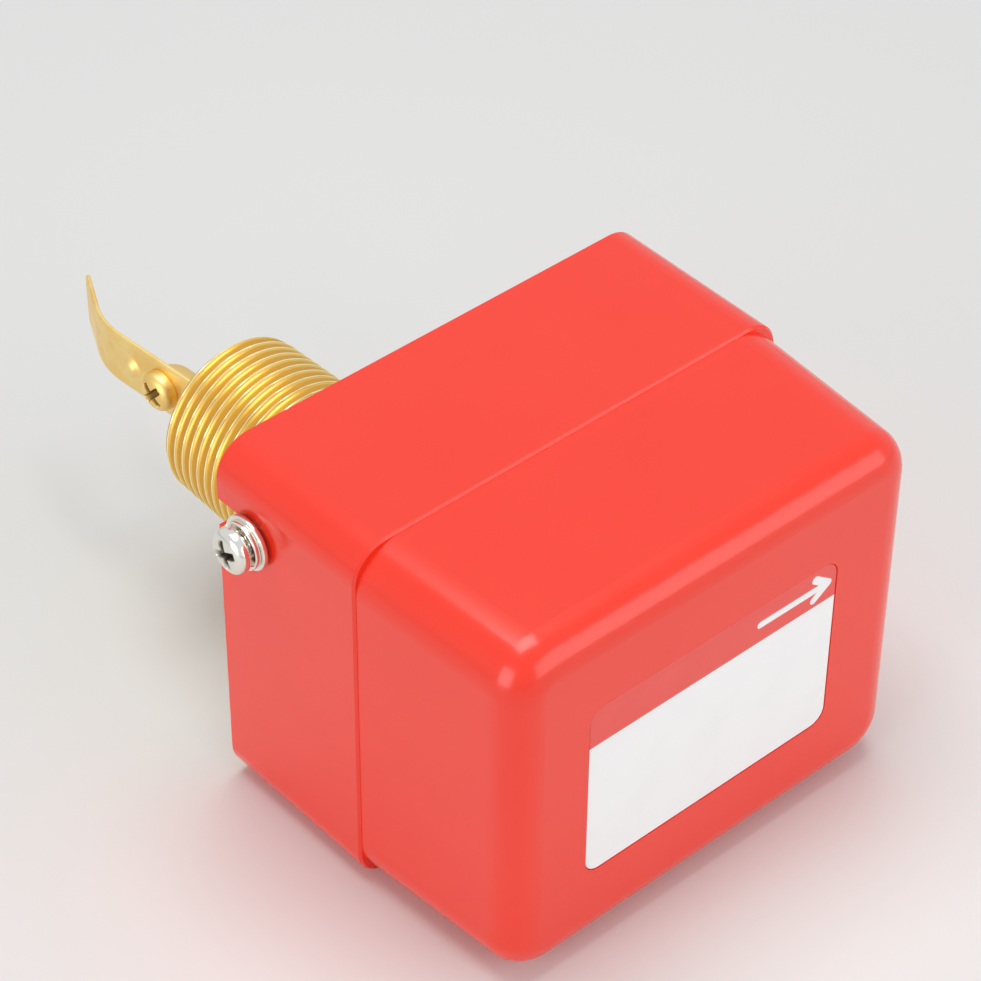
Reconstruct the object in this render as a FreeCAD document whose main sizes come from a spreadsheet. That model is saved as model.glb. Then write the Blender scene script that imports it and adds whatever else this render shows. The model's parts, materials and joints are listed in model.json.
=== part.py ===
import FreeCAD, Part
import math
import os
import re
import Sketcher
from FreeCAD import Placement, Rotation, Vector

# Paddle flow switch. Millimetres. +X is the way the water flows, +Y points out of the
# housing along the pipe thread, +Z is up. The origin lies on the thread's axis, where the
# thread starts beside its neck. The pieces are drawn from the plane of the housing's open
# back rim, and place() carries them back by the rim's distance from the origin.

SIZES = {
    # housing cover: a deep moulded cap, wider and square-sided at the back, drafted in front
    "cover_width": 76.0, "cover_height": 61.0, "rear_depth": 28.3, "front_depth": 29.2,
    "cover_wall": 2.0, "rear_corner": 5.5, "front_corner": 7.0, "cover_step": 0.4,
    "draft_across": 1.7, "draft_up": 0.75, "front_edge": 5.2, "step_chamfer": 0.35,
    "housing_across": 9.3, "housing_up": 1.1,
    # label, let into the front face
    "label_width": 44.8, "label_height": 30.1, "label_corner": 2.4, "label_recess": 0.4,
    "label_thickness": 0.3, "label_across": -0.7, "label_up": -0.35, "label_gap": 0.15,
    # zinc-plated base plate, folded up at both sides
    "plate_thickness": 1.5, "plate_inset": 0.5, "plate_gap": 0.35,
    "flange_depth": 13.5, "flange_inset": 7.5, "bend_fillet": 1.0,
    # cover screws, one each side, with a spring washer and a flat washer
    "cover_screw_back": 7.4, "cover_screw_below": 11.1, "cover_screw_radius": 2.0,
    "cover_screw_length": 11.0, "cover_head_radius": 3.5, "cover_head_height": 2.4,
    "thread_gap": 0.05, "notch_gap": 0.35, "slip_gap": 0.3,
    "flat_washer_radius": 4.2, "flat_washer_thickness": 0.8,
    "spring_washer_radius": 3.6, "spring_washer_thickness": 1.1, "washer_hole_gap": 0.15,
    "head_lift": 0.4, "washer_split": 0.8, "head_rounding": 0.6, "cut_margin": 1.0,
    # brass pipe fitting
    "thread_radius": 13.22, "thread_length": 19.5, "thread_chamfer": 1.0,
    "thread_pitch": 1.814, "thread_depth": 0.75, "thread_crest": 0.3,
    "hex_bevel_inset": 0.2, "hex_bevel_reach": 3.6, "hex_bevel_angle": 30.0,
    "neck_radius": 11.8, "neck_length": 2.5, "hex_flats": 30.0, "hex_length": 12.0,
    "spigot_radius": 10.0, "spigot_length": 12.0, "plate_hole_gap": 0.2,
    "bore_radius": 9.0, "spigot_bore": 6.2, "bellows_seat": 4.0,
    "gasket_radius": 14.0, "gasket_thickness": 1.5, "gasket_gap": 0.15,
    "nut_flats": 26.0, "nut_thickness": 4.0,
    # lever: a brass rod on a cross pin, leaning upstream when no water flows
    "pivot_back": 9.0, "pivot_pin_radius": 1.5, "pivot_pin_inset": 0.5, "pivot_gap": 0.05,
    "rest_angle": 4.2,
    "stem_radius": 4.2, "stem_overhang": 2.4, "stem_tip_flat": 0.1, "stem_inner": 14.0,
    "collar_out": 21.0, "collar_radius": 5.6, "collar_thickness": 1.2, "flat_start": 46.0,
    "bellows_outer": 7.0, "bellows_inner": 5.0, "bellows_wall": 0.35, "bellows_end": 0.6,
    "bellows_gap": 0.3,
    # paddle strip
    "paddle_root": 47.0, "paddle_bend": 69.0, "paddle_tip": 12.4, "paddle_angle": 31.0,
    "paddle_radius": 14.0, "paddle_thickness": 0.8, "paddle_width": 9.1, "paddle_corner": 3.2,
    "paddle_screw_out": 54.9, "paddle_screw_radius": 1.5, "paddle_screw_length": 4.0,
    "paddle_head_radius": 3.0, "paddle_head_height": 2.0,
    "dimple_beyond": 7.0, "dimple_radius": 1.4, "dimple_height": 0.6, "dimple_round": 0.4,
    # rocker arm inside the housing
    "arm_start": 5.0, "arm_length": 20.0, "arm_width": 8.0, "arm_corner": 2.4,
    "arm_thickness": 1.5,
    "arm_screw_out": 9.5, "arm_screw_radius": 1.5, "arm_screw_length": 3.5,
    "arm_head_radius": 2.6, "arm_head_height": 1.8,
    "contact_out": 14.5, "contact_radius": 1.4, "contact_round": 1.12, "contact_height": 3.3,
    "spring_out": 20.0, "boss_radius": 2.4, "boss_height": 2.5,
    # range spring, its seat and its adjusting screw
    "range_screw_radius": 2.5, "range_screw_start": -19.3, "range_screw_end": -7.5,
    "range_head_radius": 4.0, "range_head_height": 3.0, "range_slot_width": 1.2,
    "range_slot_depth": 1.4, "range_collar_radius": 4.2, "range_collar_thickness": 1.0,
    "seat_start": -14.2, "seat_thickness": 3.0, "seat_side": 12.0, "seat_corner": 1.5,
    "seat_nose": 1.6, "seat_nose_gap": 0.1, "spring_gap": 0.25,
    "spring_radius": 4.0, "spring_wire": 0.8, "spring_turns": 6.0,
    "range_wall": 1.5, "range_wall_height": 16.0, "range_wall_top": 6.5, "range_foot": 5.8,
    "range_foot_screw_up": 4.32,
    "range_lip": 11.0, "range_lip_thickness": 1.2, "small_screw_radius": 1.4,
    "small_head_radius": 1.9, "small_head_height": 1.6,
    # snap switch and its bracket
    "switch_face": 8.0, "switch_height": 15.9, "switch_start": 15.0, "switch_length": 27.8,
    "switch_width": 10.3, "switch_corner": 1.0, "switch_hole_across": 12.4,
    "switch_hole_pitch": 22.2, "switch_screw_radius": 1.5, "switch_head_radius": 2.7,
    "switch_head_height": 1.8, "switch_bracket_thickness": 1.5, "switch_foot": 9.0,
    "shelf_start": 15.8, "shelf_width": 8.2, "shelf_screw_across": 2.214,
    "shelf_screw_down": 5.4,
    "plunger_back": 31.0, "plunger_radius": 1.25, "plunger_round": 0.5,
    "plunger_gap": 0.05, "plunger_length": 4.0,
    "plunger_proud": 1.0, "blade_thickness": 0.8, "blade_width": 6.3, "blade_length": 7.0,
    "blade_pitch": 10.008,
    "lever_back": 39.5, "lever_barrel": 0.7, "lever_length": 19.5, "lever_width": 4.2,
    "lever_thickness": 0.5,
    # terminal block, earth screw and cable grommet
    "block_across": 21.0, "block_below": 10.1, "block_length": 36.0, "block_width": 12.0,
    "block_base": 7.0, "barrier_height": 4.0, "barrier_thickness": 1.5, "pole_pitch": 9.5,
    "pole_half_width": 3.42,
    "terminal_head_radius": 3.0, "terminal_head_height": 2.0, "terminal_screw_radius": 1.5,
    "terminal_screw_length": 5.0, "clamp_thickness": 0.8, "clamp_width": 9.6,
    "earth_across": -10.0, "earth_above": 9.4, "earth_radius": 2.0, "earth_head_radius": 3.8,
    "earth_head_height": 2.4, "earth_length": 3.5,
    "grommet_inward": 14.3, "grommet_above": 14.4, "grommet_groove": 6.5, "grommet_radius": 8.5,
    "grommet_lip": 2.0, "cable_radius": 4.0,
}

doc = FreeCAD.newDocument("PaddleFlowSwitch")
sheet = doc.addObject("Spreadsheet::Sheet", "sizes")
for row, (word, number) in enumerate(SIZES.items(), start=1):
    sheet.set(f"A{row}", word)
    sheet.set(f"B{row}", str(number))
    sheet.setAlias(f"B{row}", word)
doc.recompute()

pieces = []


def inSheet(text):
    # writes each size's name in an expression as its cell of the sheet
    return re.sub(
        r"[a-z][a-z_]+",
        lambda found: "sizes." + found.group() if found.group() in SIZES else found.group(),
        text,
    )


def value(text):
    return float(sheet.evalExpression(inSheet(text)))


def bind(thing, name, text):
    thing.setExpression(name, inSheet(text))


def place(thing, x="0", y="0", z="0", axis=Vector(0, 0, 1), angle="0"):
    thing.Placement = Placement(Vector(0, 0, 0), Rotation(axis, 1.0))
    bind(thing, "Placement.Base.x", x)
    bind(thing, "Placement.Base.y", f"{y} - ({THREAD_START})")
    bind(thing, "Placement.Base.z", z)
    bind(thing, "Placement.Rotation.Angle", angle)


def newBody(name):
    body = doc.addObject("PartDesign::Body", name)
    body.Label = name
    place(body)
    return body


def keep(piece, name):
    # marks an object as one of the assembly's pieces
    piece.Label = name
    pieces.append(piece)
    return piece


def sketchOn(body, plane, away="0"):
    sketch = body.newObject("Sketcher::SketchObject", "Sketch")
    for feature in body.Origin.OriginFeatures:
        if feature.Role == plane:
            sketch.AttachmentSupport = [(feature, "")]
    sketch.MapMode = "FlatFace"
    bind(sketch, "AttachmentOffset.Base.z", away)
    return sketch


def pin(sketch, shape, spot, across, up):
    # holds a point of the sketch at its distances from the sketch's origin
    for kind, text, axis in (("DistanceX", across, -2), ("DistanceY", up, -1)):
        amount = value(text)
        if abs(amount) < 1e-9:
            sketch.addConstraint(Sketcher.Constraint("PointOnObject", shape, spot, axis))
        else:
            limit = Sketcher.Constraint(kind, -1, 1, shape, spot, amount)
            bind(sketch, f"Constraints[{sketch.addConstraint(limit)}]", text)


def polygon(sketch, corners):
    first = sketch.GeometryCount
    count = len(corners)
    spots = [Vector(value(across), value(up), 0) for across, up in corners]
    for index, spot in enumerate(spots):
        sketch.addGeometry(Part.LineSegment(spot, spots[(index + 1) % count]), False)
    for index, (across, up) in enumerate(corners):
        following = first + (index + 1) % count
        sketch.addConstraint(Sketcher.Constraint("Coincident", first + index, 2, following, 1))
        pin(sketch, first + index, 1, across, up)


def circle(sketch, across, up, radius):
    centre = Vector(value(across), value(up), 0)
    index = sketch.addGeometry(Part.Circle(centre, Vector(0, 0, 1), value(radius)), False)
    pin(sketch, index, 3, across, up)
    limit = sketch.addConstraint(Sketcher.Constraint("Radius", index, value(radius)))
    bind(sketch, f"Constraints[{limit}]", radius)


def rectangle(sketch, left, right, low, high):
    polygon(sketch, [(left, low), (right, low), (right, high), (left, high)])


def roundedRectangle(sketch, width, height, radius, across, up):
    # four sides joined by four tangent quarter circles of one radius
    first = sketch.GeometryCount
    wide, tall, bend = value(width) / 2, value(height) / 2, value(radius)
    middle = Vector(value(across), value(up), 0)
    normal = Vector(0, 0, 1)
    ways = [(1, -1), (1, 1), (-1, 1), (-1, -1)]
    for turn, (right, top) in enumerate(ways):
        after = ways[(turn + 1) % 4]
        hub = middle + Vector(right * (wide - bend), top * (tall - bend), 0)
        arc = Part.ArcOfCircle(
            Part.Circle(hub, normal, bend), (turn - 1) * math.pi / 2, turn * math.pi / 2
        )
        next_hub = middle + Vector(after[0] * (wide - bend), after[1] * (tall - bend), 0)
        out = Vector(math.cos(turn * math.pi / 2), math.sin(turn * math.pi / 2), 0) * bend
        sketch.addGeometry(arc, False)
        sketch.addGeometry(Part.LineSegment(hub + out, next_hub + out), False)
    for turn in range(4):
        arc = first + 2 * turn
        side = arc + 1
        next_arc = first + (2 * turn + 2) % 8
        sketch.addConstraint(Sketcher.Constraint("Tangent", arc, 2, side, 1))
        sketch.addConstraint(Sketcher.Constraint("Tangent", side, 2, next_arc, 1))
        straight = "Vertical" if turn % 2 == 0 else "Horizontal"
        sketch.addConstraint(Sketcher.Constraint(straight, side))
        if turn:
            sketch.addConstraint(Sketcher.Constraint("Equal", first, arc))
    limit = sketch.addConstraint(Sketcher.Constraint("Radius", first, bend))
    bind(sketch, f"Constraints[{limit}]", radius)
    edges = [
        (1, "DistanceX", f"{across} + ({width}) / 2"),
        (3, "DistanceY", f"{up} + ({height}) / 2"),
        (5, "DistanceX", f"{across} - ({width}) / 2"),
        (7, "DistanceY", f"{up} - ({height}) / 2"),
    ]
    for side, kind, text in edges:
        limit = Sketcher.Constraint(kind, -1, 1, first + side, 1, value(text))
        bind(sketch, f"Constraints[{sketch.addConstraint(limit)}]", text)


def pad(body, sketch, length, backwards=False, both=False):
    feature = body.newObject("PartDesign::Pad", "Pad")
    feature.Profile = sketch
    feature.Reversed = backwards
    feature.SideType = "Symmetric" if both else "One side"
    bind(feature, "Length", length)
    return feature


def pocket(body, sketch, length=None, backwards=False):
    # without a length it cuts everything on both sides of its sketch
    feature = body.newObject("PartDesign::Pocket", "Pocket")
    feature.Profile = sketch
    feature.Reversed = backwards
    if length is None:
        feature.SideType = "Symmetric"
        feature.Type = "ThroughAll"
    else:
        bind(feature, "Length", length)
    return feature


def turned(body, sketch, cut=False):
    feature = body.newObject("PartDesign::Groove" if cut else "PartDesign::Revolution", "Turned")
    feature.Profile = sketch
    feature.ReferenceAxis = (sketch, ["V_Axis"])
    feature.Angle = 360.0
    return feature


def loft(body, profile, section, cut=False):
    kind = "PartDesign::SubtractiveLoft" if cut else "PartDesign::AdditiveLoft"
    feature = body.newObject(kind, "Loft")
    feature.Profile = profile
    feature.Sections = [section]
    feature.Ruled = True
    return feature


def soften(body, feature, radius, chosen, chamfer=False):
    # rounds or bevels the feature's edges that the test chooses
    doc.recompute()
    names = [
        f"Edge{number}"
        for number, edge in enumerate(feature.Shape.Edges, start=1)
        if chosen(edge)
    ]
    if not names:
        raise RuntimeError(f"{body.Label}: no edge to soften")
    kind = "Chamfer" if chamfer else "Fillet"
    softened = body.newObject(f"PartDesign::{kind}", kind)
    softened.Base = (feature, names)
    bind(softened, "Size" if chamfer else "Radius", radius)
    return softened


def isNear(a, b):
    return abs(a - b) < 1e-4


def mirrored(solid, name, normal, base, middle):
    mirror = doc.addObject("Part::Mirroring", name)
    mirror.Source = solid
    mirror.Normal = normal
    bind(mirror, base, middle)
    return mirror


def pair(name, solid):
    # the solid and its fellow, half a turn away round the middle of the housing
    across = mirrored(solid, name + "_across", Vector(1, 0, 0), "Base.x", "housing_across")
    fellow = mirrored(across, name + "_fellow", Vector(0, 0, 1), "Base.z", "housing_up")
    both = doc.addObject("Part::Compound", name)
    both.Links = [solid, fellow]
    return keep(both, name)


def panScrew(name, head_radius, head_height, shank_radius, length):
    # own axis along +Z, the underside of the head at zero
    body = newBody(name)
    sketch = sketchOn(body, "XZ_Plane")
    polygon(sketch, [
        ("0", f"-({length})"), (shank_radius, f"-({length})"), (shank_radius, "0"),
        (head_radius, "0"), (head_radius, head_height), ("0", head_height),
    ])
    turn = turned(body, sketch)
    top = value(head_height)
    soften(body, turn, f"{head_height} * head_rounding",
           lambda edge: isNear(edge.BoundBox.ZMin, top) and isNear(edge.BoundBox.ZMax, top))
    return body


# Derived places, each written once
LEFT = "housing_across - cover_width / 2"
DEPTH = "rear_depth + front_depth"
FRONT_WIDTH = "cover_width - 2 * cover_step"
FRONT_HEIGHT = "cover_height - 2 * cover_step"
FACE_WIDTH = FRONT_WIDTH + " - 2 * draft_across"
FACE_HEIGHT = FRONT_HEIGHT + " - 2 * draft_up"
INNER_WIDTH = FRONT_WIDTH + " - 2 * cover_wall"
INNER_HEIGHT = FRONT_HEIGHT + " - 2 * cover_wall"
PLATE_WIDTH = INNER_WIDTH + " - 2 * plate_gap"
PLATE_HEIGHT = INNER_HEIGHT + " - 2 * plate_gap"
PLATE_FRONT = "-(plate_inset + plate_thickness)"
PLATE_LEFT = f"housing_across - ({PLATE_WIDTH}) / 2"
TOP = "housing_up + cover_height / 2"
UNDERSIDE = "housing_up - cover_height / 2"
FLANGE_TOP = f"{TOP} - flange_inset"
FLANGE_UNDERSIDE = f"{UNDERSIDE} + flange_inset"
SCREW_UP = f"{TOP} - cover_screw_below"
FELLOW_UP = f"2 * housing_up - ({SCREW_UP})"
BLOCK_UP = f"{TOP} - block_below"
EARTH_UP = f"{UNDERSIDE} + earth_above"
GROMMET_ACROSS = "housing_across + cover_width / 2 - grommet_inward"
GROMMET_UP = f"{UNDERSIDE} + grommet_above"
HEX_START = "gasket_thickness - plate_inset"
THREAD_START = HEX_START + " + hex_length + neck_length"
FITTING_END = THREAD_START + " + thread_length"
SPRING_BACK = "pivot_back + spring_out"
ARM_FACE = "spring_out * sin(rest_angle * 1 deg)"


def makeCover():
    body = newBody("cover")
    rear = sketchOn(body, "XZ_Plane")
    roundedRectangle(rear, "cover_width", "cover_height", "rear_corner",
                     "housing_across", "housing_up")
    block = pad(body, rear, "rear_depth")
    soften(body, block, "step_chamfer",
           lambda edge: isNear(edge.BoundBox.YMax, -value("rear_depth")), chamfer=True)
    seam = sketchOn(body, "XZ_Plane", "rear_depth - step_chamfer")
    roundedRectangle(seam, FRONT_WIDTH, FRONT_HEIGHT, "front_corner",
                     "housing_across", "housing_up")
    face = sketchOn(body, "XZ_Plane", DEPTH)
    roundedRectangle(face, FACE_WIDTH, FACE_HEIGHT, "front_corner",
                     "housing_across", "housing_up")
    nose = loft(body, seam, face)
    front = -value(DEPTH)
    soften(body, nose, "front_edge", lambda edge: isNear(edge.BoundBox.YMax, front))
    # hollow: straight behind the seam, drafted in front of it
    inside = sketchOn(body, "XZ_Plane")
    roundedRectangle(inside, INNER_WIDTH, INNER_HEIGHT, "front_corner - cover_wall",
                     "housing_across", "housing_up")
    pocket(body, inside, "rear_depth", backwards=True)
    start = sketchOn(body, "XZ_Plane", "rear_depth")
    roundedRectangle(start, INNER_WIDTH, INNER_HEIGHT, "front_corner - cover_wall",
                     "housing_across", "housing_up")
    end = sketchOn(body, "XZ_Plane", f"{DEPTH} - cover_wall")
    roundedRectangle(end, f"{FACE_WIDTH} - 2 * cover_wall", f"{FACE_HEIGHT} - 2 * cover_wall",
                     "front_corner - cover_wall", "housing_across", "housing_up")
    loft(body, start, end, cut=True)
    # the label's shallow recess
    recess = sketchOn(body, "XZ_Plane", DEPTH)
    roundedRectangle(recess, "label_width + 2 * label_gap", "label_height + 2 * label_gap",
                     "label_corner + label_gap", "housing_across + label_across",
                     "housing_up + label_up")
    pocket(body, recess, "label_recess")
    # screw notches, open to the back rim so that the cover draws off over the screws
    throat = "cover_screw_radius + notch_gap"
    for up, rightward in ((SCREW_UP, False), (FELLOW_UP, True)):
        slot = sketchOn(body, "YZ_Plane", "housing_across")
        rectangle(slot, "-cover_screw_back", "cut_margin", f"{up} - ({throat})",
                  f"{up} + {throat}")
        pocket(body, slot, "cover_width", backwards=rightward)
        root = sketchOn(body, "YZ_Plane", "housing_across")
        circle(root, "-cover_screw_back", up, throat)
        pocket(body, root, "cover_width", backwards=rightward)
    keep(body, "cover")


def makeLabel():
    body = newBody("label_sheet")
    outline = sketchOn(body, "XZ_Plane", f"{DEPTH} - label_recess")
    roundedRectangle(outline, "label_width", "label_height", "label_corner",
                     "housing_across + label_across", "housing_up + label_up")
    pad(body, outline, "label_thickness")
    keep(body, "label_sheet")


def makeBasePlate():
    body = newBody("base_plate")
    outline = sketchOn(body, "XZ_Plane", "plate_inset")
    roundedRectangle(outline, PLATE_WIDTH, PLATE_HEIGHT,
                     "front_corner - cover_wall - plate_gap", "housing_across", "housing_up")
    circle(outline, "0", "0", "spigot_radius + plate_hole_gap")
    circle(outline, GROMMET_ACROSS, GROMMET_UP, "grommet_groove")
    circle(outline, "earth_across", EARTH_UP, "earth_radius + thread_gap")
    pad(body, outline, "plate_thickness")
    flanges = sketchOn(body, "XZ_Plane", "plate_inset")
    for edge, way in ((PLATE_LEFT, 1), (f"housing_across + ({PLATE_WIDTH}) / 2", -1)):
        inner = f"{edge} + {way} * plate_thickness"
        rectangle(flanges, *([edge, inner] if way > 0 else [inner, edge]),
                  FLANGE_UNDERSIDE, FLANGE_TOP)
    sides = pad(body, flanges, "flange_depth")
    inner = value(PLATE_LEFT) + value("plate_thickness")
    other = 2 * value("housing_across") - inner
    fold = value(PLATE_FRONT)
    bent = soften(body, sides, "bend_fillet", lambda edge: (
        isNear(edge.BoundBox.YMin, fold) and isNear(edge.BoundBox.YMax, fold)
        and isNear(edge.BoundBox.XLength, 0)
        and (isNear(edge.BoundBox.XMin, inner) or isNear(edge.BoundBox.XMin, other))))
    for up, rightward in ((SCREW_UP, False), (FELLOW_UP, True)):
        tapped = sketchOn(body, "YZ_Plane", "housing_across")
        circle(tapped, "-cover_screw_back", up, "cover_screw_radius + thread_gap")
        pocket(body, tapped, "cover_width", backwards=rightward)
    return keep(body, "base_plate")


def threadCorners():
    # the thread as ring grooves of its own pitch and depth, between flat crests
    grooves = int(value("(thread_length - thread_chamfer) / thread_pitch"))
    corners = []
    for groove in range(grooves):
        crest = f"{THREAD_START} + {groove} * thread_pitch"
        corners += [
            ("thread_radius", crest),
            ("thread_radius", f"{crest} + thread_crest"),
            ("thread_radius - thread_depth", f"{crest} + (thread_crest + thread_pitch) / 2"),
        ]
    return corners + [("thread_radius", f"{THREAD_START} + {grooves} * thread_pitch")]


def makeFitting():
    body = newBody("pipe_fitting")
    profile = sketchOn(body, "XY_Plane")
    polygon(profile, [
        ("spigot_bore", "-spigot_length"),
        ("spigot_radius", "-spigot_length"),
        ("spigot_radius", HEX_START),
        ("neck_radius", HEX_START),
        ("neck_radius", THREAD_START),
        *threadCorners(),
        ("thread_radius", f"{FITTING_END} - thread_chamfer"),
        ("thread_radius - thread_chamfer", FITTING_END),
        ("bore_radius", FITTING_END),
        ("bore_radius", "bellows_seat"),
        ("spigot_bore", "bellows_seat"),
    ])
    turned(body, profile)
    # spanner hexagon, standing behind the housing
    hexagon = sketchOn(body, "XZ_Plane", f"-({HEX_START} + hex_length)")
    polygon(hexagon, hexCorners("hex_flats"))
    circle(hexagon, "0", "0", "spigot_radius")
    pad(body, hexagon, "hex_length")
    bevel = sketchOn(body, "XY_Plane")
    rim = f"{HEX_START} + hex_length"
    reach = "hex_flats / 2 + hex_bevel_reach"
    drop = "(hex_bevel_inset + hex_bevel_reach) * tan(hex_bevel_angle * 1 deg)"
    polygon(bevel, [
        ("hex_flats / 2 - hex_bevel_inset", rim), (reach, f"{rim} - {drop}"), (reach, rim)])
    turned(body, bevel, cut=True)
    cross = sketchOn(body, "XY_Plane")
    circle(cross, "0", "-pivot_back", "pivot_pin_radius")
    pocket(body, cross)
    keep(body, "pipe_fitting")


def hexCorners(flats):
    return [
        (f"{flats} / 2 / cos(30 deg) * cos({60 * turn} deg)",
         f"{flats} / 2 / cos(30 deg) * sin({60 * turn} deg)" if turn % 3 else "0")
        for turn in range(6)
    ]


def makeFittingRings():
    gasket = newBody("fitting_gasket")
    outline = sketchOn(gasket, "XZ_Plane", f"-({HEX_START})")
    circle(outline, "0", "0", "gasket_radius")
    circle(outline, "0", "0", "spigot_radius + gasket_gap")
    pad(gasket, outline, "gasket_thickness")
    keep(gasket, "fitting_gasket")
    nut = newBody("fitting_nut")
    outline = sketchOn(nut, "XZ_Plane", "plate_inset + plate_thickness")
    polygon(outline, hexCorners("nut_flats"))
    circle(outline, "0", "0", "spigot_radius + thread_gap")
    pad(nut, outline, "nut_thickness")
    keep(nut, "fitting_nut")


def makeCoverScrews():
    # from the cover's side outwards: running gap, flat washer, spring washer, lift, head
    washer = newBody("flat_washer")
    outline = sketchOn(washer, "YZ_Plane", f"{LEFT} - slip_gap - flat_washer_thickness")
    circle(outline, "-cover_screw_back", SCREW_UP, "flat_washer_radius")
    circle(outline, "-cover_screw_back", SCREW_UP, "cover_screw_radius + washer_hole_gap")
    pad(washer, outline, "flat_washer_thickness")
    pair("flat_washers", washer)
    spring = newBody("spring_washer")
    edge = f"{LEFT} - slip_gap - flat_washer_thickness - spring_washer_thickness"
    outline = sketchOn(spring, "YZ_Plane", edge)
    circle(outline, "-cover_screw_back", SCREW_UP, "spring_washer_radius")
    circle(outline, "-cover_screw_back", SCREW_UP, "cover_screw_radius + washer_hole_gap")
    pad(spring, outline, "spring_washer_thickness")
    split = sketchOn(spring, "YZ_Plane")
    rectangle(split, "-cover_screw_back - washer_split / 2",
              "-cover_screw_back + washer_split / 2",
              SCREW_UP, f"{SCREW_UP} + spring_washer_radius + cut_margin")
    pocket(spring, split)
    pair("spring_washers", spring)
    screw = panScrew("cover_screw", "cover_head_radius", "cover_head_height",
                     "cover_screw_radius", "cover_screw_length")
    place(screw, f"{edge} - head_lift", "-cover_screw_back", SCREW_UP,
          Vector(0, 1, 0), "-90")
    pair("cover_screws", screw)


def onLever(body):
    # the lever's pieces are drawn about its pivot, +Y along the rod, and lean together
    place(body, y="-pivot_back", angle="rest_angle")
    return body


def makeStem():
    body = newBody("lever_stem")
    profile = sketchOn(body, "XY_Plane")
    end = "paddle_screw_out + stem_overhang"
    polygon(profile, [
        ("0", "-stem_inner"), ("stem_radius", "-stem_inner"), ("stem_radius", "collar_out"),
        ("collar_radius", "collar_out"), ("collar_radius", "collar_out + collar_thickness"),
        ("stem_radius", "collar_out + collar_thickness"), ("stem_radius", end), ("0", end),
    ])
    rod = turned(body, profile)
    tip = value(end)
    soften(body, rod, "stem_radius - stem_tip_flat",
           lambda edge: isNear(edge.BoundBox.YMin, tip) and edge.BoundBox.XLength > 1)
    # flats that carry the paddle outside and the rocker arm inside
    outer = sketchOn(body, "XY_Plane")
    rectangle(outer, "-2 * stem_radius", "paddle_thickness / 2",
              "flat_start", f"{end} + cut_margin")
    pocket(body, outer)
    inner = sketchOn(body, "XY_Plane")
    rectangle(inner, "0", "2 * stem_radius", "-stem_inner - cut_margin", "-arm_start")
    pocket(body, inner)
    pivot = sketchOn(body, "XY_Plane")
    circle(pivot, "0", "0", "pivot_pin_radius + pivot_gap")
    pocket(body, pivot)
    for out, radius in (("paddle_screw_out", "paddle_screw_radius"),
                        ("-arm_screw_out", "arm_screw_radius")):
        hole = sketchOn(body, "YZ_Plane")
        circle(hole, out, "0", f"{radius} + thread_gap")
        pocket(body, hole)
    keep(onLever(body), "lever_stem")


def makePivotPin():
    body = newBody("pivot_pin")
    outline = sketchOn(body, "XY_Plane")
    circle(outline, "0", "-pivot_back", "pivot_pin_radius")
    pad(body, outline, "2 * (spigot_radius - pivot_pin_inset)", both=True)
    keep(body, "pivot_pin")


def makeBellows():
    # thin convoluted tube on the rod, closing the space between its collar and the
    # fitting's inner shoulder
    body = newBody("bellows")
    start = "pivot_back + bellows_seat + bellows_outer * sin(rest_angle * 1 deg) + bellows_gap"
    stop = "collar_out"
    folds = 4
    run = f"(({stop}) - ({start}) - 2 * bellows_end) / {2 * folds}"
    outside = [("bellows_outer", start), ("bellows_outer", f"{start} + bellows_end")]
    for fold in range(1, 2 * folds):
        radius = "bellows_outer" if fold % 2 == 0 else "bellows_inner"
        outside.append((radius, f"{start} + bellows_end + {run} * {fold}"))
    outside.append(("bellows_outer", f"{stop} - bellows_end"))
    outside.append(("bellows_outer", stop))
    inside = [("stem_radius + bellows_wall", stop),
              ("stem_radius + bellows_wall", f"{stop} - bellows_end")]
    for radius, out in reversed(outside[2:-2]):
        inside.append((f"{radius} - bellows_wall", out))
    inside += [("stem_radius + bellows_wall", f"{start} + bellows_end"),
               ("stem_radius + bellows_wall", start)]
    profile = sketchOn(body, "XY_Plane")
    polygon(profile, outside + inside)
    turned(body, profile)
    keep(onLever(body), "bellows")


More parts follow.
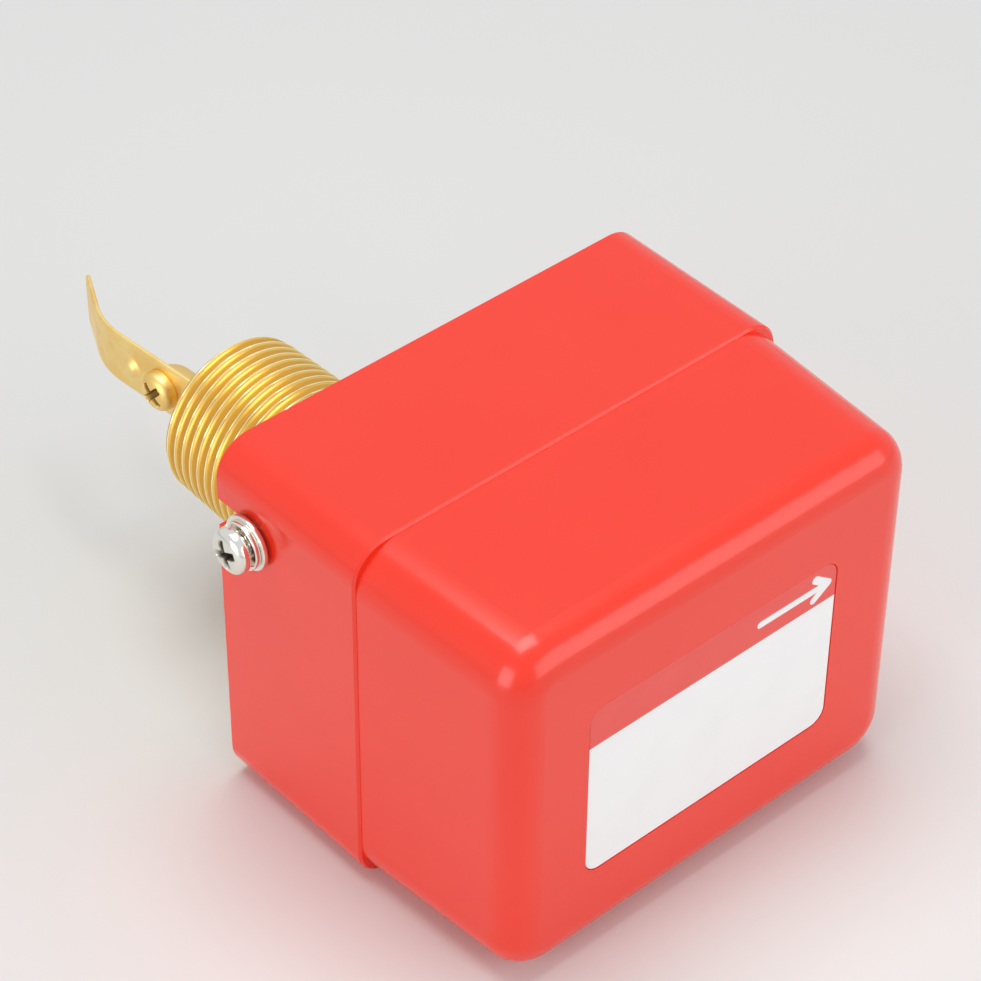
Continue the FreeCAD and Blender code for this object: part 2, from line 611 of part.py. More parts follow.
def makePaddle():
    body = newBody("paddle")
    half = "paddle_thickness / 2"
    mitre = f"{half} * tan(paddle_angle / 2 * 1 deg)"
    tip_x = "paddle_tip * sin(paddle_angle * 1 deg)"
    tip_y = "paddle_bend + paddle_tip * cos(paddle_angle * 1 deg)"
    side_x = f"{half} * cos(paddle_angle * 1 deg)"
    side_y = f"{half} * sin(paddle_angle * 1 deg)"
    profile = sketchOn(body, "XY_Plane")
    polygon(profile, [
        (f"-{half}", "paddle_root"), (half, "paddle_root"),
        (half, f"paddle_bend - {mitre}"),
        (f"{tip_x} + {side_x}", f"{tip_y} - {side_y}"),
        (f"{tip_x} - {side_x}", f"{tip_y} + {side_y}"),
        (f"-{half}", f"paddle_bend + {mitre}"),
    ])
    strip = pad(body, profile, "paddle_width", both=True)
    hollow, bulge = value(half), -value(half)
    before_bend = value("paddle_bend - paddle_thickness")
    inner = soften(body, strip, "paddle_radius", lambda edge: (
        isNear(edge.BoundBox.XMin, hollow) and isNear(edge.BoundBox.XMax, hollow)
        and isNear(edge.BoundBox.YLength, 0) and edge.BoundBox.YMin > before_bend))
    bent = soften(body, inner, "paddle_radius + paddle_thickness", lambda edge: (
        isNear(edge.BoundBox.XMin, bulge) and isNear(edge.BoundBox.XMax, bulge)
        and isNear(edge.BoundBox.YLength, 0) and edge.BoundBox.YMin > before_bend))
    far = value(f"{tip_y} - paddle_corner")
    soften(body, bent, "paddle_corner", lambda edge: (
        edge.BoundBox.YMin > far and edge.BoundBox.ZLength < 1e-4))
    hole = sketchOn(body, "YZ_Plane")
    circle(hole, "paddle_screw_out", "0", "paddle_screw_radius + thread_gap")
    pocket(body, hole)
    # raised dimple that keeps the strip from turning under its screw
    dimple = sketchOn(body, "YZ_Plane", "-paddle_thickness / 2")
    circle(dimple, "paddle_screw_out + dimple_beyond", "0", "dimple_radius")
    bump = pad(body, dimple, "dimple_height", backwards=True)
    top = -value("paddle_thickness / 2 + dimple_height")
    soften(body, bump, "dimple_round",
           lambda edge: isNear(edge.BoundBox.XMin, top) and isNear(edge.BoundBox.XMax, top))
    keep(onLever(body), "paddle")
    screw = panScrew("paddle_screw", "paddle_head_radius", "paddle_head_height",
                     "paddle_screw_radius", "paddle_screw_length")
    # out of the upstream face of the strip, square to the leaning rod
    place(screw, "-paddle_thickness / 2 * cos(rest_angle * 1 deg)"
          " - paddle_screw_out * sin(rest_angle * 1 deg)",
          "-pivot_back + paddle_screw_out * cos(rest_angle * 1 deg)"
          " - paddle_thickness / 2 * sin(rest_angle * 1 deg)")
    turnWithLever(screw, -90)
    keep(screw, "paddle_screw")


def turnWithLever(body, quarter):
    # turns an own +Z axis across the rod, then leans it with the lever
    body.setExpression("Placement.Rotation.Angle", None)
    lean = Rotation(Vector(0, 0, 1), value("rest_angle"))
    square = lean.multiply(Rotation(Vector(0, 1, 0), quarter))
    body.Placement = Placement(body.Placement.Base, square)


def makeRockerArm():
    body = newBody("rocker_arm")
    profile = sketchOn(body, "XY_Plane")
    far = "-(arm_start + arm_length)"
    rectangle(profile, "0", "arm_thickness", far, "-arm_start")
    strip = pad(body, profile, "arm_width", both=True)
    end = value(far)
    soften(body, strip, "arm_corner", lambda edge: (
        isNear(edge.BoundBox.YMin, end) and isNear(edge.BoundBox.YMax, end)
        and isNear(edge.BoundBox.ZLength, 0)))
    hole = sketchOn(body, "YZ_Plane")
    circle(hole, "-arm_screw_out", "0", "arm_screw_radius + thread_gap")
    pocket(body, hole)
    # contact stud towards the snap switch, spring boss on the other face
    stud = sketchOn(body, "YZ_Plane", "arm_thickness")
    circle(stud, "-contact_out", "0", "contact_radius")
    knob = pad(body, stud, "contact_height")
    top = value("arm_thickness + contact_height")
    soften(body, knob, "contact_round",
           lambda edge: isNear(edge.BoundBox.XMin, top) and isNear(edge.BoundBox.XMax, top))
    boss = sketchOn(body, "YZ_Plane")
    circle(boss, "-spring_out", "0", "boss_radius")
    pad(body, boss, "boss_height", backwards=True)
    keep(onLever(body), "rocker_arm")
    screw = panScrew("rocker_screw", "arm_head_radius", "arm_head_height",
                     "arm_screw_radius", "arm_screw_length")
    place(screw, "arm_thickness * cos(rest_angle * 1 deg)"
          " + arm_screw_out * sin(rest_angle * 1 deg)",
          "-pivot_back - arm_screw_out * cos(rest_angle * 1 deg)"
          " + arm_thickness * sin(rest_angle * 1 deg)")
    turnWithLever(screw, 90)
    keep(screw, "rocker_screw")


def makeRangeParts():
    # folded bracket: wall across the screw, foot on the base plate, lip under the seat
    wall_x = "range_screw_start + slip_gap"
    bracket = newBody("range_bracket")
    profile = sketchOn(bracket, "XY_Plane")
    back = PLATE_FRONT
    far = f"-({SPRING_BACK} + seat_side / 2)"
    polygon(profile, [
        (f"{wall_x} + range_wall - range_foot", back),
        (f"{wall_x} + range_wall", back),
        (f"{wall_x} + range_wall", far),
        (wall_x, far),
        (wall_x, f"{back} - range_wall"),
        (f"{wall_x} + range_wall - range_foot", f"{back} - range_wall"),
    ])
    wall = pad(bracket, profile, "range_wall_height", both=True)
    lip = sketchOn(bracket, "XZ_Plane", f"{SPRING_BACK} - seat_side / 2")
    top = "-(seat_side / 2 + slip_gap)"
    rectangle(lip, wall_x, f"{wall_x} + range_wall + range_lip",
              f"{top} - range_lip_thickness", top)
    pad(bracket, lip, "seat_side")
    hole = sketchOn(bracket, "YZ_Plane")
    circle(hole, f"-({SPRING_BACK})", "0", "range_screw_radius + pivot_gap")
    pocket(bracket, hole)
    keep(bracket, "range_bracket")

    screw = newBody("range_screw")
    shank = sketchOn(screw, "YZ_Plane", "range_screw_start")
    circle(shank, f"-({SPRING_BACK})", "0", "range_screw_radius")
    pad(screw, shank, "range_screw_end - range_screw_start")
    head = sketchOn(screw, "YZ_Plane", "range_screw_start")
    circle(head, f"-({SPRING_BACK})", "0", "range_head_radius")
    pad(screw, head, "range_head_height", backwards=True)
    collar = sketchOn(screw, "YZ_Plane", f"{wall_x} + range_wall + slip_gap")
    circle(collar, f"-({SPRING_BACK})", "0", "range_collar_radius")
    pad(screw, collar, "range_collar_thickness")
    slot = sketchOn(screw, "YZ_Plane", "range_screw_start - range_head_height")
    rectangle(slot, f"-({SPRING_BACK}) - range_slot_width / 2",
              f"-({SPRING_BACK}) + range_slot_width / 2",
              "-range_head_radius - cut_margin", "range_head_radius + cut_margin")
    pocket(screw, slot, "range_slot_depth", backwards=True)
    keep(screw, "range_screw")

    seat = newBody("spring_seat")
    plate = sketchOn(seat, "YZ_Plane", "seat_start")
    roundedRectangle(plate, "seat_side", "seat_side", "seat_corner",
                     f"-({SPRING_BACK})", "0")
    circle(plate, f"-({SPRING_BACK})", "0", "range_screw_radius + pivot_gap")
    pad(seat, plate, "seat_thickness")
    nose = sketchOn(seat, "YZ_Plane", "seat_start + seat_thickness")
    circle(nose, f"-({SPRING_BACK})", "0", "spring_radius - spring_wire / 2 - seat_nose_gap")
    circle(nose, f"-({SPRING_BACK})", "0", "range_screw_radius + pivot_gap")
    pad(seat, nose, "seat_nose")
    keep(seat, "spring_seat")


def makeRangeSpring():
    # coil between the seat and the rocker arm's upstream face
    start = "seat_start + seat_thickness + spring_wire / 2"
    free = f"{ARM_FACE} - spring_gap - spring_wire / 2 - ({start})"
    coil = doc.addObject("Part::Helix", "coil_path")
    bind(coil, "Pitch", f"({free}) / spring_turns")
    bind(coil, "Height", free)
    bind(coil, "Radius", "spring_radius")
    wire = doc.addObject("Part::Circle", "coil_wire")
    bind(wire, "Radius", "spring_wire / 2")
    wire.Placement = Placement(Vector(value("spring_radius"), 0, 0), Rotation(Vector(1, 0, 0), 90))
    bind(wire, "Placement.Base.x", "spring_radius")
    doc.recompute()
    spring = doc.addObject("Part::Sweep", "range_spring")
    spring.Sections = [wire]
    spring.Spine = (coil, [f"Edge{n + 1}" for n in range(len(coil.Shape.Edges))])
    spring.Solid = True
    spring.Frenet = True
    place(spring, start, f"-({SPRING_BACK})", "0", Vector(0, 1, 0), "90")
    keep(spring, "range_spring")


def makeSwitch():
    case = newBody("switch_case")
    top = "switch_face + switch_height"
    far = "-(switch_start + switch_length)"
    outline = sketchOn(case, "XY_Plane")
    rectangle(outline, "switch_face", top, far, "-switch_start")
    block = pad(case, outline, "switch_width", both=True)
    soften(case, block, "switch_corner",
           lambda edge: edge.BoundBox.ZLength > value("switch_width") - 0.1)
    holes = sketchOn(case, "XY_Plane")
    middle = "switch_start + switch_length / 2"
    for way in ("-", "+"):
        circle(holes, "switch_face + switch_hole_across",
               f"-({middle} {way} switch_hole_pitch / 2)", "switch_screw_radius + thread_gap")
    pocket(case, holes)
    well = sketchOn(case, "YZ_Plane", "switch_face")
    circle(well, "-plunger_back", "0", "plunger_radius + plunger_gap")
    pocket(case, well, "plunger_length + 0.5", backwards=True)
    keep(case, "switch_case")

    plunger = newBody("switch_plunger")
    button = sketchOn(plunger, "YZ_Plane", "switch_face - plunger_proud")
    circle(button, "-plunger_back", "0", "plunger_radius")
    rod = pad(plunger, button, "plunger_length")
    end = value("switch_face - plunger_proud")
    soften(plunger, rod, "plunger_round",
           lambda edge: isNear(edge.BoundBox.XMin, end) and isNear(edge.BoundBox.XMax, end))
    keep(plunger, "switch_plunger")

    lever = newBody("switch_lever")
    face = "switch_face - plunger_proud - slip_gap"
    profile = sketchOn(lever, "XY_Plane")
    rectangle(profile, f"{face} - lever_thickness", face, "-lever_back",
              "-lever_back + lever_length")
    pad(lever, profile, "lever_width", both=True)
    barrel = sketchOn(lever, "XY_Plane")
    circle(barrel, f"{face} - lever_thickness + lever_barrel", "-lever_back", "lever_barrel")
    pad(lever, barrel, "lever_width", both=True)
    keep(lever, "switch_lever")

    blades = newBody("switch_blade")
    outline = sketchOn(blades, "XY_Plane")
    rectangle(outline, top, f"{top} + blade_length",
              f"-({middle}) - blade_thickness / 2", f"-({middle}) + blade_thickness / 2")
    pad(blades, outline, "blade_width", both=True)
    row = doc.addObject("Part::Compound", "switch_blades")
    links = [blades]
    for way in ("-", "+"):
        other = doc.addObject("Part::Feature", "blade_copy")
        doc.recompute()
        other.Shape = blades.Shape
        place(other, y=f"{way}blade_pitch")
        links.append(other)
    row.Links = links
    keep(row, "switch_blades")

    screws = []
    for way in ("-", "+"):
        screw = panScrew("switch_screw", "switch_head_radius", "switch_head_height",
                         "switch_screw_radius", "switch_width + switch_bracket_thickness")
        place(screw, "switch_face + switch_hole_across",
              f"-({middle} {way} switch_hole_pitch / 2)", "switch_width / 2")
        screws.append(screw)
    group = doc.addObject("Part::Compound", "switch_screws")
    group.Links = screws
    keep(group, "switch_screws")

    # L bracket: shelf under the switch, foot folded down against the base plate
    bracket = newBody("switch_bracket")
    shelf = sketchOn(bracket, "YZ_Plane", "shelf_start")
    under = "-switch_width / 2"
    low = f"{under} - switch_bracket_thickness"
    polygon(shelf, [
        (far, under), (PLATE_FRONT, under), (PLATE_FRONT, f"{under} - switch_foot"),
        (f"{PLATE_FRONT} - switch_bracket_thickness", f"{under} - switch_foot"),
        (f"{PLATE_FRONT} - switch_bracket_thickness", low), (far, low),
    ])
    pad(bracket, shelf, "shelf_width")
    holes = sketchOn(bracket, "XY_Plane", under)
    for way in ("-", "+"):
        circle(holes, "switch_face + switch_hole_across",
               f"-({middle} {way} switch_hole_pitch / 2)", "switch_screw_radius + thread_gap")
    pocket(bracket, holes, "switch_bracket_thickness")
    keep(bracket, "switch_bracket")


def makeBracketScrews():
    # small screws through the feet of both brackets into the base plate
    screws = []
    left_foot = "range_screw_start + slip_gap + range_wall / 2 - range_foot / 2"
    right_foot = "shelf_start + shelf_width / 2"
    spots = [
        (left_foot, "range_foot_screw_up", "range_wall"),
        (left_foot, "-range_foot_screw_up", "range_wall"),
        (f"{right_foot} - shelf_screw_across",
         "-switch_width / 2 - shelf_screw_down", "switch_bracket_thickness"),
        (f"{right_foot} + shelf_screw_across",
         "-switch_width / 2 - shelf_screw_down", "switch_bracket_thickness"),
    ]
    for across, up, foot in spots:
        screw = panScrew("bracket_screw", "small_head_radius", "small_head_height",
                         "small_screw_radius", f"{foot} + plate_thickness")
        place(screw, across, f"{PLATE_FRONT} - {foot}", up, Vector(1, 0, 0), "90")
        screws.append(screw)
    return spots, screws


def makeTerminals():
    block = newBody("terminal_block")
    base = sketchOn(block, "XZ_Plane", f"-({PLATE_FRONT})")
    rectangle(base, "block_across - block_length / 2", "block_across + block_length / 2",
              f"{BLOCK_UP} - block_width / 2", f"{BLOCK_UP} + block_width / 2")
    pad(block, base, "block_base")
    fins = sketchOn(block, "XZ_Plane", f"-({PLATE_FRONT}) + block_base")
    for fin in (-1.5, -0.5, 0.5, 1.5):
        middle = f"block_across + {fin} * pole_pitch"
        rectangle(fins, f"{middle} - barrier_thickness / 2", f"{middle} + barrier_thickness / 2",
                  f"{BLOCK_UP} - block_width / 2", f"{BLOCK_UP} + block_width / 2")
    pad(block, fins, "barrier_height")
    wells = sketchOn(block, "XZ_Plane", f"-({PLATE_FRONT}) + block_base")
    for pole in (-1, 0, 1):
        circle(wells, f"block_across + {pole} * pole_pitch", BLOCK_UP,
               "terminal_screw_radius + thread_gap")
    pocket(block, wells, "terminal_screw_length")
    keep(block, "terminal_block")
    clamps, screws = [], []
    for pole in (-1, 0, 1):
        middle = f"block_across + {pole} * pole_pitch"
        front = f"{PLATE_FRONT} - block_base"
        screw = panScrew("terminal_screw", "terminal_head_radius", "terminal_head_height",
                         "terminal_screw_radius", "terminal_screw_length + clamp_thickness - 0.5")
        place(screw, middle, f"{front} - clamp_thickness", BLOCK_UP, Vector(1, 0, 0), "90")
        screws.append(screw)
        clamp = newBody("terminal_clamp")
        outline = sketchOn(clamp, "XZ_Plane", f"-({front})")
        rectangle(outline, f"{middle} - pole_half_width", f"{middle} + pole_half_width",
                  f"{BLOCK_UP} - clamp_width / 2", f"{BLOCK_UP} + clamp_width / 2")
        circle(outline, middle, BLOCK_UP, "terminal_screw_radius + thread_gap")
        pad(clamp, outline, "clamp_thickness")
        clamps.append(clamp)
    for name, links in (("terminal_screws", screws), ("terminal_clamps", clamps)):
        group = doc.addObject("Part::Compound", name)
        group.Links = links
        keep(group, name)


def makeEarthScrew():
    screw = panScrew("earth_screw", "earth_head_radius", "earth_head_height",
                     "earth_radius", "earth_length")
    place(screw, "earth_across", PLATE_FRONT, EARTH_UP, Vector(1, 0, 0), "90")
    keep(screw, "earth_screw")


def makeGrommet():
    body = newBody("cable_grommet")
    profile = sketchOn(body, "XY_Plane")
    outer, inner = "-plate_inset", PLATE_FRONT
    polygon(profile, [
        ("cable_radius", f"{inner} - grommet_lip"),
        ("grommet_radius - 0.8", f"{inner} - grommet_lip"),
        ("grommet_radius", inner),
        ("grommet_groove - thread_gap", inner),
        ("grommet_groove - thread_gap", outer),
        ("grommet_radius", outer),
        ("grommet_radius - 0.8", f"{outer} + grommet_lip"),
        ("cable_radius", f"{outer} + grommet_lip"),
    ])
    turned(body, profile)
    place(body, GROMMET_ACROSS, "0", GROMMET_UP)
    keep(body, "cable_grommet")


makeCover()
makeLabel()
plate = makeBasePlate()
makeFitting()
makeFittingRings()
makeCoverScrews()
makeStem()
makePivotPin()
makeBellows()
makePaddle()
makeRockerArm()
makeRangeParts()
makeRangeSpring()
makeSwitch()
foot_spots, foot_screws = makeBracketScrews()
group = doc.addObject("Part::Compound", "bracket_screws")
group.Links = foot_screws
keep(group, "bracket_screws")
makeTerminals()
makeEarthScrew()
makeGrommet()

# clearance holes for the bracket screws, in the plate and in both feet
for name in ("base_plate", "range_bracket", "switch_bracket"):
    holder = [piece for piece in pieces if piece.Label == name][0]
    if name == "base_plate":
        away, length, spots = "-(" + PLATE_FRONT + ")", "plate_thickness", foot_spots
    elif name == "range_bracket":
        away, length, spots = f"-({PLATE_FRONT}) + range_wall", "range_wall", foot_spots[:2]
    else:
        away, length, spots = (f"-({PLATE_FRONT}) + switch_bracket_thickness",
                               "switch_bracket_thickness", foot_spots[2:])
    holes = sketchOn(holder, "XZ_Plane", away)
    for across, up, foot in spots:
        circle(holes, across, up, "small_screw_radius + thread_gap")
    pocket(holder, holes, length)

doc.recompute()
for thing in doc.Objects:
    if "Invalid" in thing.State or "Error" in thing.State:
        raise RuntimeError(f"{thing.Name} ({thing.Label}) did not compute: {thing.State}")
for piece in pieces:
    if piece.Shape.isNull() or not piece.Shape.isValid():
        raise RuntimeError(f"{piece.Label} has no valid shape")
os.makedirs("parts", exist_ok=True)
for piece in pieces:
    piece.Shape.exportStep(f"parts/{piece.Label}.step")
    print(f"{piece.Label}: {len(piece.Shape.Solids)} solid(s), {piece.Shape.Volume:.1f} mm3")
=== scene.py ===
import json
import math
import bpy
import numpy as np
from mathutils import Matrix, Vector


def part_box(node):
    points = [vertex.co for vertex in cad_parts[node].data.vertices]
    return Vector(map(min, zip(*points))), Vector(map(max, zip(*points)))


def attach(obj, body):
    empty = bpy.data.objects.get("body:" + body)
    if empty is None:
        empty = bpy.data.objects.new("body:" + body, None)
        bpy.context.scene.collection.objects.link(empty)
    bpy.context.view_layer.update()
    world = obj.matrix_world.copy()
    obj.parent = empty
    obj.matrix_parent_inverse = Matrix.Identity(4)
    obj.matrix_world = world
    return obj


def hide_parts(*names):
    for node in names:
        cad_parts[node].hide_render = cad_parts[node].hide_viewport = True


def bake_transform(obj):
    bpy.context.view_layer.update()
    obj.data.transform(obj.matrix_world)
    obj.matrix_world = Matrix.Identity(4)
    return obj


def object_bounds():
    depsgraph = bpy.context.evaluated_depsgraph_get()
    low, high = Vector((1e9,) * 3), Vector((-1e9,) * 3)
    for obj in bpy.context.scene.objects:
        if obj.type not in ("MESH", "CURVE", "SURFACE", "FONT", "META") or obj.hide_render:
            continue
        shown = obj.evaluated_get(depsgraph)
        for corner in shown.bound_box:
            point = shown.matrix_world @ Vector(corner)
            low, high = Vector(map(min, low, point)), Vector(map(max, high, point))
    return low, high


# Paddle flow switch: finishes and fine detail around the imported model. Metres throughout;
# sizes that read better in millimetres are written as so many times mm.
# The water flows along +X, the pipe thread points along +Y, and +Z is up.

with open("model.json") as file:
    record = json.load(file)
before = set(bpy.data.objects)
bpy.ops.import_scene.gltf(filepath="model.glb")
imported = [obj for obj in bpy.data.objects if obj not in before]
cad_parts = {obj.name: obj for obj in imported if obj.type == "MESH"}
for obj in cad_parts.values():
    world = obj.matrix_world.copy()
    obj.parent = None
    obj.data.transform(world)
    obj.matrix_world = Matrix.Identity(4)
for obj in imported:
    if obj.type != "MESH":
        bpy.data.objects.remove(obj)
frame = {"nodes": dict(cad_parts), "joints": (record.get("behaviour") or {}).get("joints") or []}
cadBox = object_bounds()
mm = 0.001
print("frame loaded:", len(frame["nodes"]), "nodes")


class Wire:
    # one output of a material's nodes, so that a finish reads as plain sums: arithmetic on
    # it adds Math nodes
    def __init__(self, finish, socket):
        self.finish = finish
        self.socket = socket

    def math(self, operation, *others, first=None):
        terms = (self, *others) if first is None else (first, self, *others)
        made = self.finish.node("ShaderNodeMath", {"operation": operation}, dict(enumerate(terms)))
        return Wire(self.finish, made.outputs[0])

    def __add__(self, other):
        return self.math("ADD", other)

    def __sub__(self, other):
        return self.math("SUBTRACT", other)

    def __mul__(self, other):
        return self.math("MULTIPLY", other)

    def __truediv__(self, other):
        return self.math("DIVIDE", other)

    def __rsub__(self, other):
        return self.math("SUBTRACT", first=other)

    __radd__ = __add__
    __rmul__ = __mul__

    def root(self):
        return self.math("SQRT")

    def smaller(self, other):
        return self.math("MINIMUM", other)

    def larger(self, other):
        return self.math("MAXIMUM", other)

    def held(self):
        # kept between 0 and 1
        return self.smaller(1.0).larger(0.0)

    def step(self, low, high):
        # climbs smoothly from 0 at low to 1 at high
        made = self.finish.node(
            "ShaderNodeMapRange", {"interpolation_type": "SMOOTHSTEP"},
            {"Value": self, "From Min": low, "From Max": high})
        return Wire(self.finish, made.outputs[0])


class Finish:
    # a material: its nodes, and the settings of its one shader
    def __init__(self, name):
        self.material = bpy.data.materials.new(name)
        self.material.use_nodes = True
        self.tree = self.material.node_tree
        self.tree.nodes.clear()
        self.shader = self.node("ShaderNodeBsdfPrincipled")
        self.node("ShaderNodeOutputMaterial", values={"Surface": self.shader.outputs[0]})
        self.place = self.node("ShaderNodeTexCoord").outputs["Object"]

    def node(self, kind, settings=None, values=None):
        made = self.tree.nodes.new(kind)
        for name, setting in (settings or {}).items():
            setattr(made, name, setting)
        for name, value in (values or {}).items():
            self.feed(made.inputs[name], value)
        return made

    def feed(self, socket, value):
        if isinstance(value, Wire):
            value = value.socket
        if isinstance(value, bpy.types.NodeSocket):
            self.tree.links.new(value, socket)
        else:
            socket.default_value = value

    def axes(self):
        # the three coordinates of the point, in metres
        parts = self.node("ShaderNodeSeparateXYZ", values={"Vector": self.place})
        return [Wire(self, part) for part in parts.outputs]

    def noise(self, spotSize, stretch=(1.0, 1.0, 1.0), detail=3.0):
        # soft random values about one half, in spots of the given size
        spots = self.node(
            "ShaderNodeMapping", values={"Vector": self.place, "Scale": stretch})
        made = self.node("ShaderNodeTexNoise", values={
            "Vector": spots.outputs[0], "Scale": 1 / spotSize, "Detail": detail})
        return Wire(self, made.outputs[0])

    def cells(self, patchSize):
        # random flat patches, each of one value
        made = self.node(
            "ShaderNodeTexVoronoi", {"feature": "F1"},
            {"Vector": self.place, "Scale": 1 / patchSize})
        channels = self.node("ShaderNodeSeparateColor", values={0: made.outputs["Color"]})
        return Wire(self, channels.outputs[0])

    def drawn(self, name):
        # a value that the piece's own mesh carries, 0 where it carries none
        made = self.node("ShaderNodeAttribute", {"attribute_name": name})
        return Wire(self, made.outputs["Fac"])

    def mix(self, share, first, second):
        # a colour between two colours
        made = self.node(
            "ShaderNodeMix", {"data_type": "RGBA"}, {0: share, 6: first, 7: second})
        return made.outputs[2]

    def wear(self, **sockets):
        # sets sockets of the shader, named as the shader names them but without spaces
        for name, value in sockets.items():
            spaced = "".join(" " + letter if letter.isupper() else letter for letter in name)
            self.feed(self.shader.inputs[spaced.strip()], value)

    def bump(self, height, strength, distance):
        made = self.node("ShaderNodeBump", values={
            "Height": height, "Strength": strength, "Distance": distance})
        self.feed(self.shader.inputs["Normal"], made.outputs[0])


def paint(red, green, blue):
    # a screen colour, each part from 0 to 1, as the shader's linear colour, by the usual
    # screen curve: a straight foot, then a power
    def linear(part):
        return part / 12.92 if part <= 0.04045 else ((part + 0.055) / 1.055) ** 2.4

    return (linear(red), linear(green), linear(blue), 1.0)


def redShell():
    # glossy moulded plastic: faint flow mottling, fine grain and surface ripple
    finish = Finish("redGlossShell")
    deepRed, paleRed = paint(0.97, 0.20, 0.10), paint(0.975, 0.21, 0.115)
    mottle = finish.noise(spotSize=14 * mm, detail=4.0)
    grain = finish.noise(spotSize=0.9 * mm, detail=2.0)
    ripple = finish.noise(spotSize=3.0 * mm, detail=1.0)
    finish.wear(
        BaseColor=finish.mix(mottle.step(0.2, 0.8), deepRed, paleRed),
        Roughness=0.22 + 0.04 * mottle + 0.03 * grain,
        CoatWeight=0.25, CoatRoughness=0.08)
    finish.bump(ripple, strength=0.03, distance=0.1 * mm)
    return finish.material


def strokeMask(across, up, start, end, width, soft):
    # 1 within half the width of the straight line between two points, 0 outside it
    reach = (end[0] - start[0], end[1] - start[1])
    length = reach[0] ** 2 + reach[1] ** 2
    fromStart = (across - start[0], up - start[1])
    along = ((fromStart[0] * reach[0] + fromStart[1] * reach[1]) / length).held()
    sideways = fromStart[0] - along * reach[0]
    upward = fromStart[1] - along * reach[1]
    distance = (sideways * sideways + upward * upward).root()
    return ((width / 2 + soft - distance) / (2 * soft)).held()


label = {
    "bandFrom": 8.55 * mm,  # the red band starts this far above the label's middle
    "arrowStart": (8.2 * mm, 11.65 * mm),
    "arrowTip": (20.9 * mm, 11.6 * mm),
    "barbHigh": (18.4 * mm, 13.5 * mm),
    "barbLow": (18.3 * mm, 9.9 * mm),
    "shaft": 1.15 * mm,
    "barb": 1.3 * mm,
    "soft": 0.06 * mm,
}


def printedLabel():
    # laminated sheet: white field below, red band above with the flow arrow
    finish = Finish("printedLabel")
    low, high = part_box("label_sheet")
    middle = (low + high) / 2
    across, _, up = finish.axes()
    across = across - middle.x
    up = up - middle.z
    soft = label["soft"]
    band = up.step(label["bandFrom"] - soft, label["bandFrom"] + soft)
    arrow = strokeMask(across, up, label["arrowStart"], label["arrowTip"], label["shaft"], soft)
    for barb in (label["barbHigh"], label["barbLow"]):
        arrow = arrow.larger(strokeMask(across, up, barb, label["arrowTip"], label["barb"], soft))
    grime = finish.noise(spotSize=6 * mm, detail=5.0)
    white = finish.mix(grime.step(0.35, 0.75), paint(0.99, 0.99, 0.99), paint(0.98, 0.98, 0.98))
    red = finish.mix(grime.step(0.3, 0.7), paint(0.96, 0.30, 0.26), paint(0.95, 0.28, 0.24))
    finish.wear(
        BaseColor=finish.mix((band * (1.0 - arrow)).held(), white, red),
        Roughness=0.3 + 0.08 * grime, CoatWeight=0.25, CoatRoughness=0.12)
    weave = finish.noise(spotSize=0.5 * mm, detail=2.0)
    finish.bump(weave, strength=0.05, distance=0.05 * mm)
    return finish.material


def brass(name, bright, dark, roughness, lines, depth):
    # yellow metal with tool lines: stretched noise, thin along the way that the tool cut,
    # and painted shade, darker and rougher, in the recesses of its screws
    finish = Finish(name)
    recessShade, recessShadeTone = finish.drawn("recess"), paint(0.45, 0.29, 0.10)
    tarnish = finish.noise(spotSize=5 * mm, detail=5.0)
    cut = finish.noise(spotSize=0.35 * mm, stretch=lines, detail=4.0)
    tone = finish.mix(tarnish.step(0.3, 0.75), bright, dark)
    cutTone = finish.mix(0.35 * cut.step(0.35, 0.7), tone, dark)
    finish.wear(
        BaseColor=finish.mix(0.7 * recessShade, cutTone, recessShadeTone),
        Metallic=1.0, Roughness=roughness + 0.16 * cut + 0.06 * tarnish + 0.2 * recessShade)
    finish.bump(cut, strength=0.25, distance=depth)
    return finish


def turnedBrass(name="turnedBrass"):
    return brass(name, bright=paint(0.96, 0.83, 0.52), dark=paint(0.92, 0.76, 0.42),
                 roughness=0.26, lines=(0.12, 2.2, 0.12), depth=0.03 * mm)


def stripBrass():
    # rolled sheet, pale and satin, with the rolling lines along the strip
    return brass("rolledBrassStrip", bright=paint(0.99, 0.88, 0.60), dark=paint(0.95, 0.80, 0.47),
                 roughness=0.3, lines=(1.6, 0.12, 1.6), depth=0.015 * mm).material


def bronzeBellows():
    return brass("bronzeBellows", bright=paint(0.84, 0.60, 0.38), dark=paint(0.68, 0.43, 0.24),
                 roughness=0.25, lines=(1.0, 1.0, 1.0), depth=0.02 * mm).material


def plated(name, bright, dark, roughness, patch):
    # plated steel: crystals of slightly different brightness under fine rubbing marks,
    # and painted shade, darker and rougher, in the recesses of its screws
    finish = Finish(name)
    recessShade, recessShadeTone = finish.drawn("recess"), paint(0.33, 0.27, 0.19)
    spangle = finish.cells(patch)
    rubbed = finish.noise(spotSize=0.4 * mm, stretch=(0.3, 1.0, 1.0), detail=5.0)
    cloud = finish.noise(spotSize=4 * mm, detail=3.0)
    clean = finish.mix((0.5 * spangle + 0.5 * cloud).held(), bright, dark)
    finish.wear(
        BaseColor=finish.mix(0.85 * recessShade, clean, recessShadeTone),
        Metallic=1.0, Roughness=roughness + 0.1 * rubbed + 0.05 * spangle + 0.25 * recessShade)
    finish.bump(rubbed, strength=0.15, distance=0.02 * mm)
    return finish.material


def nickel():
    return plated("brightNickel", bright=paint(0.95, 0.94, 0.91), dark=paint(0.90, 0.89, 0.85),
                  roughness=0.06, patch=1 * mm)


def zinc():
    return plated("zincPlate", bright=paint(0.80, 0.81, 0.83), dark=paint(0.68, 0.70, 0.73),
                  roughness=0.28, patch=2.2 * mm)


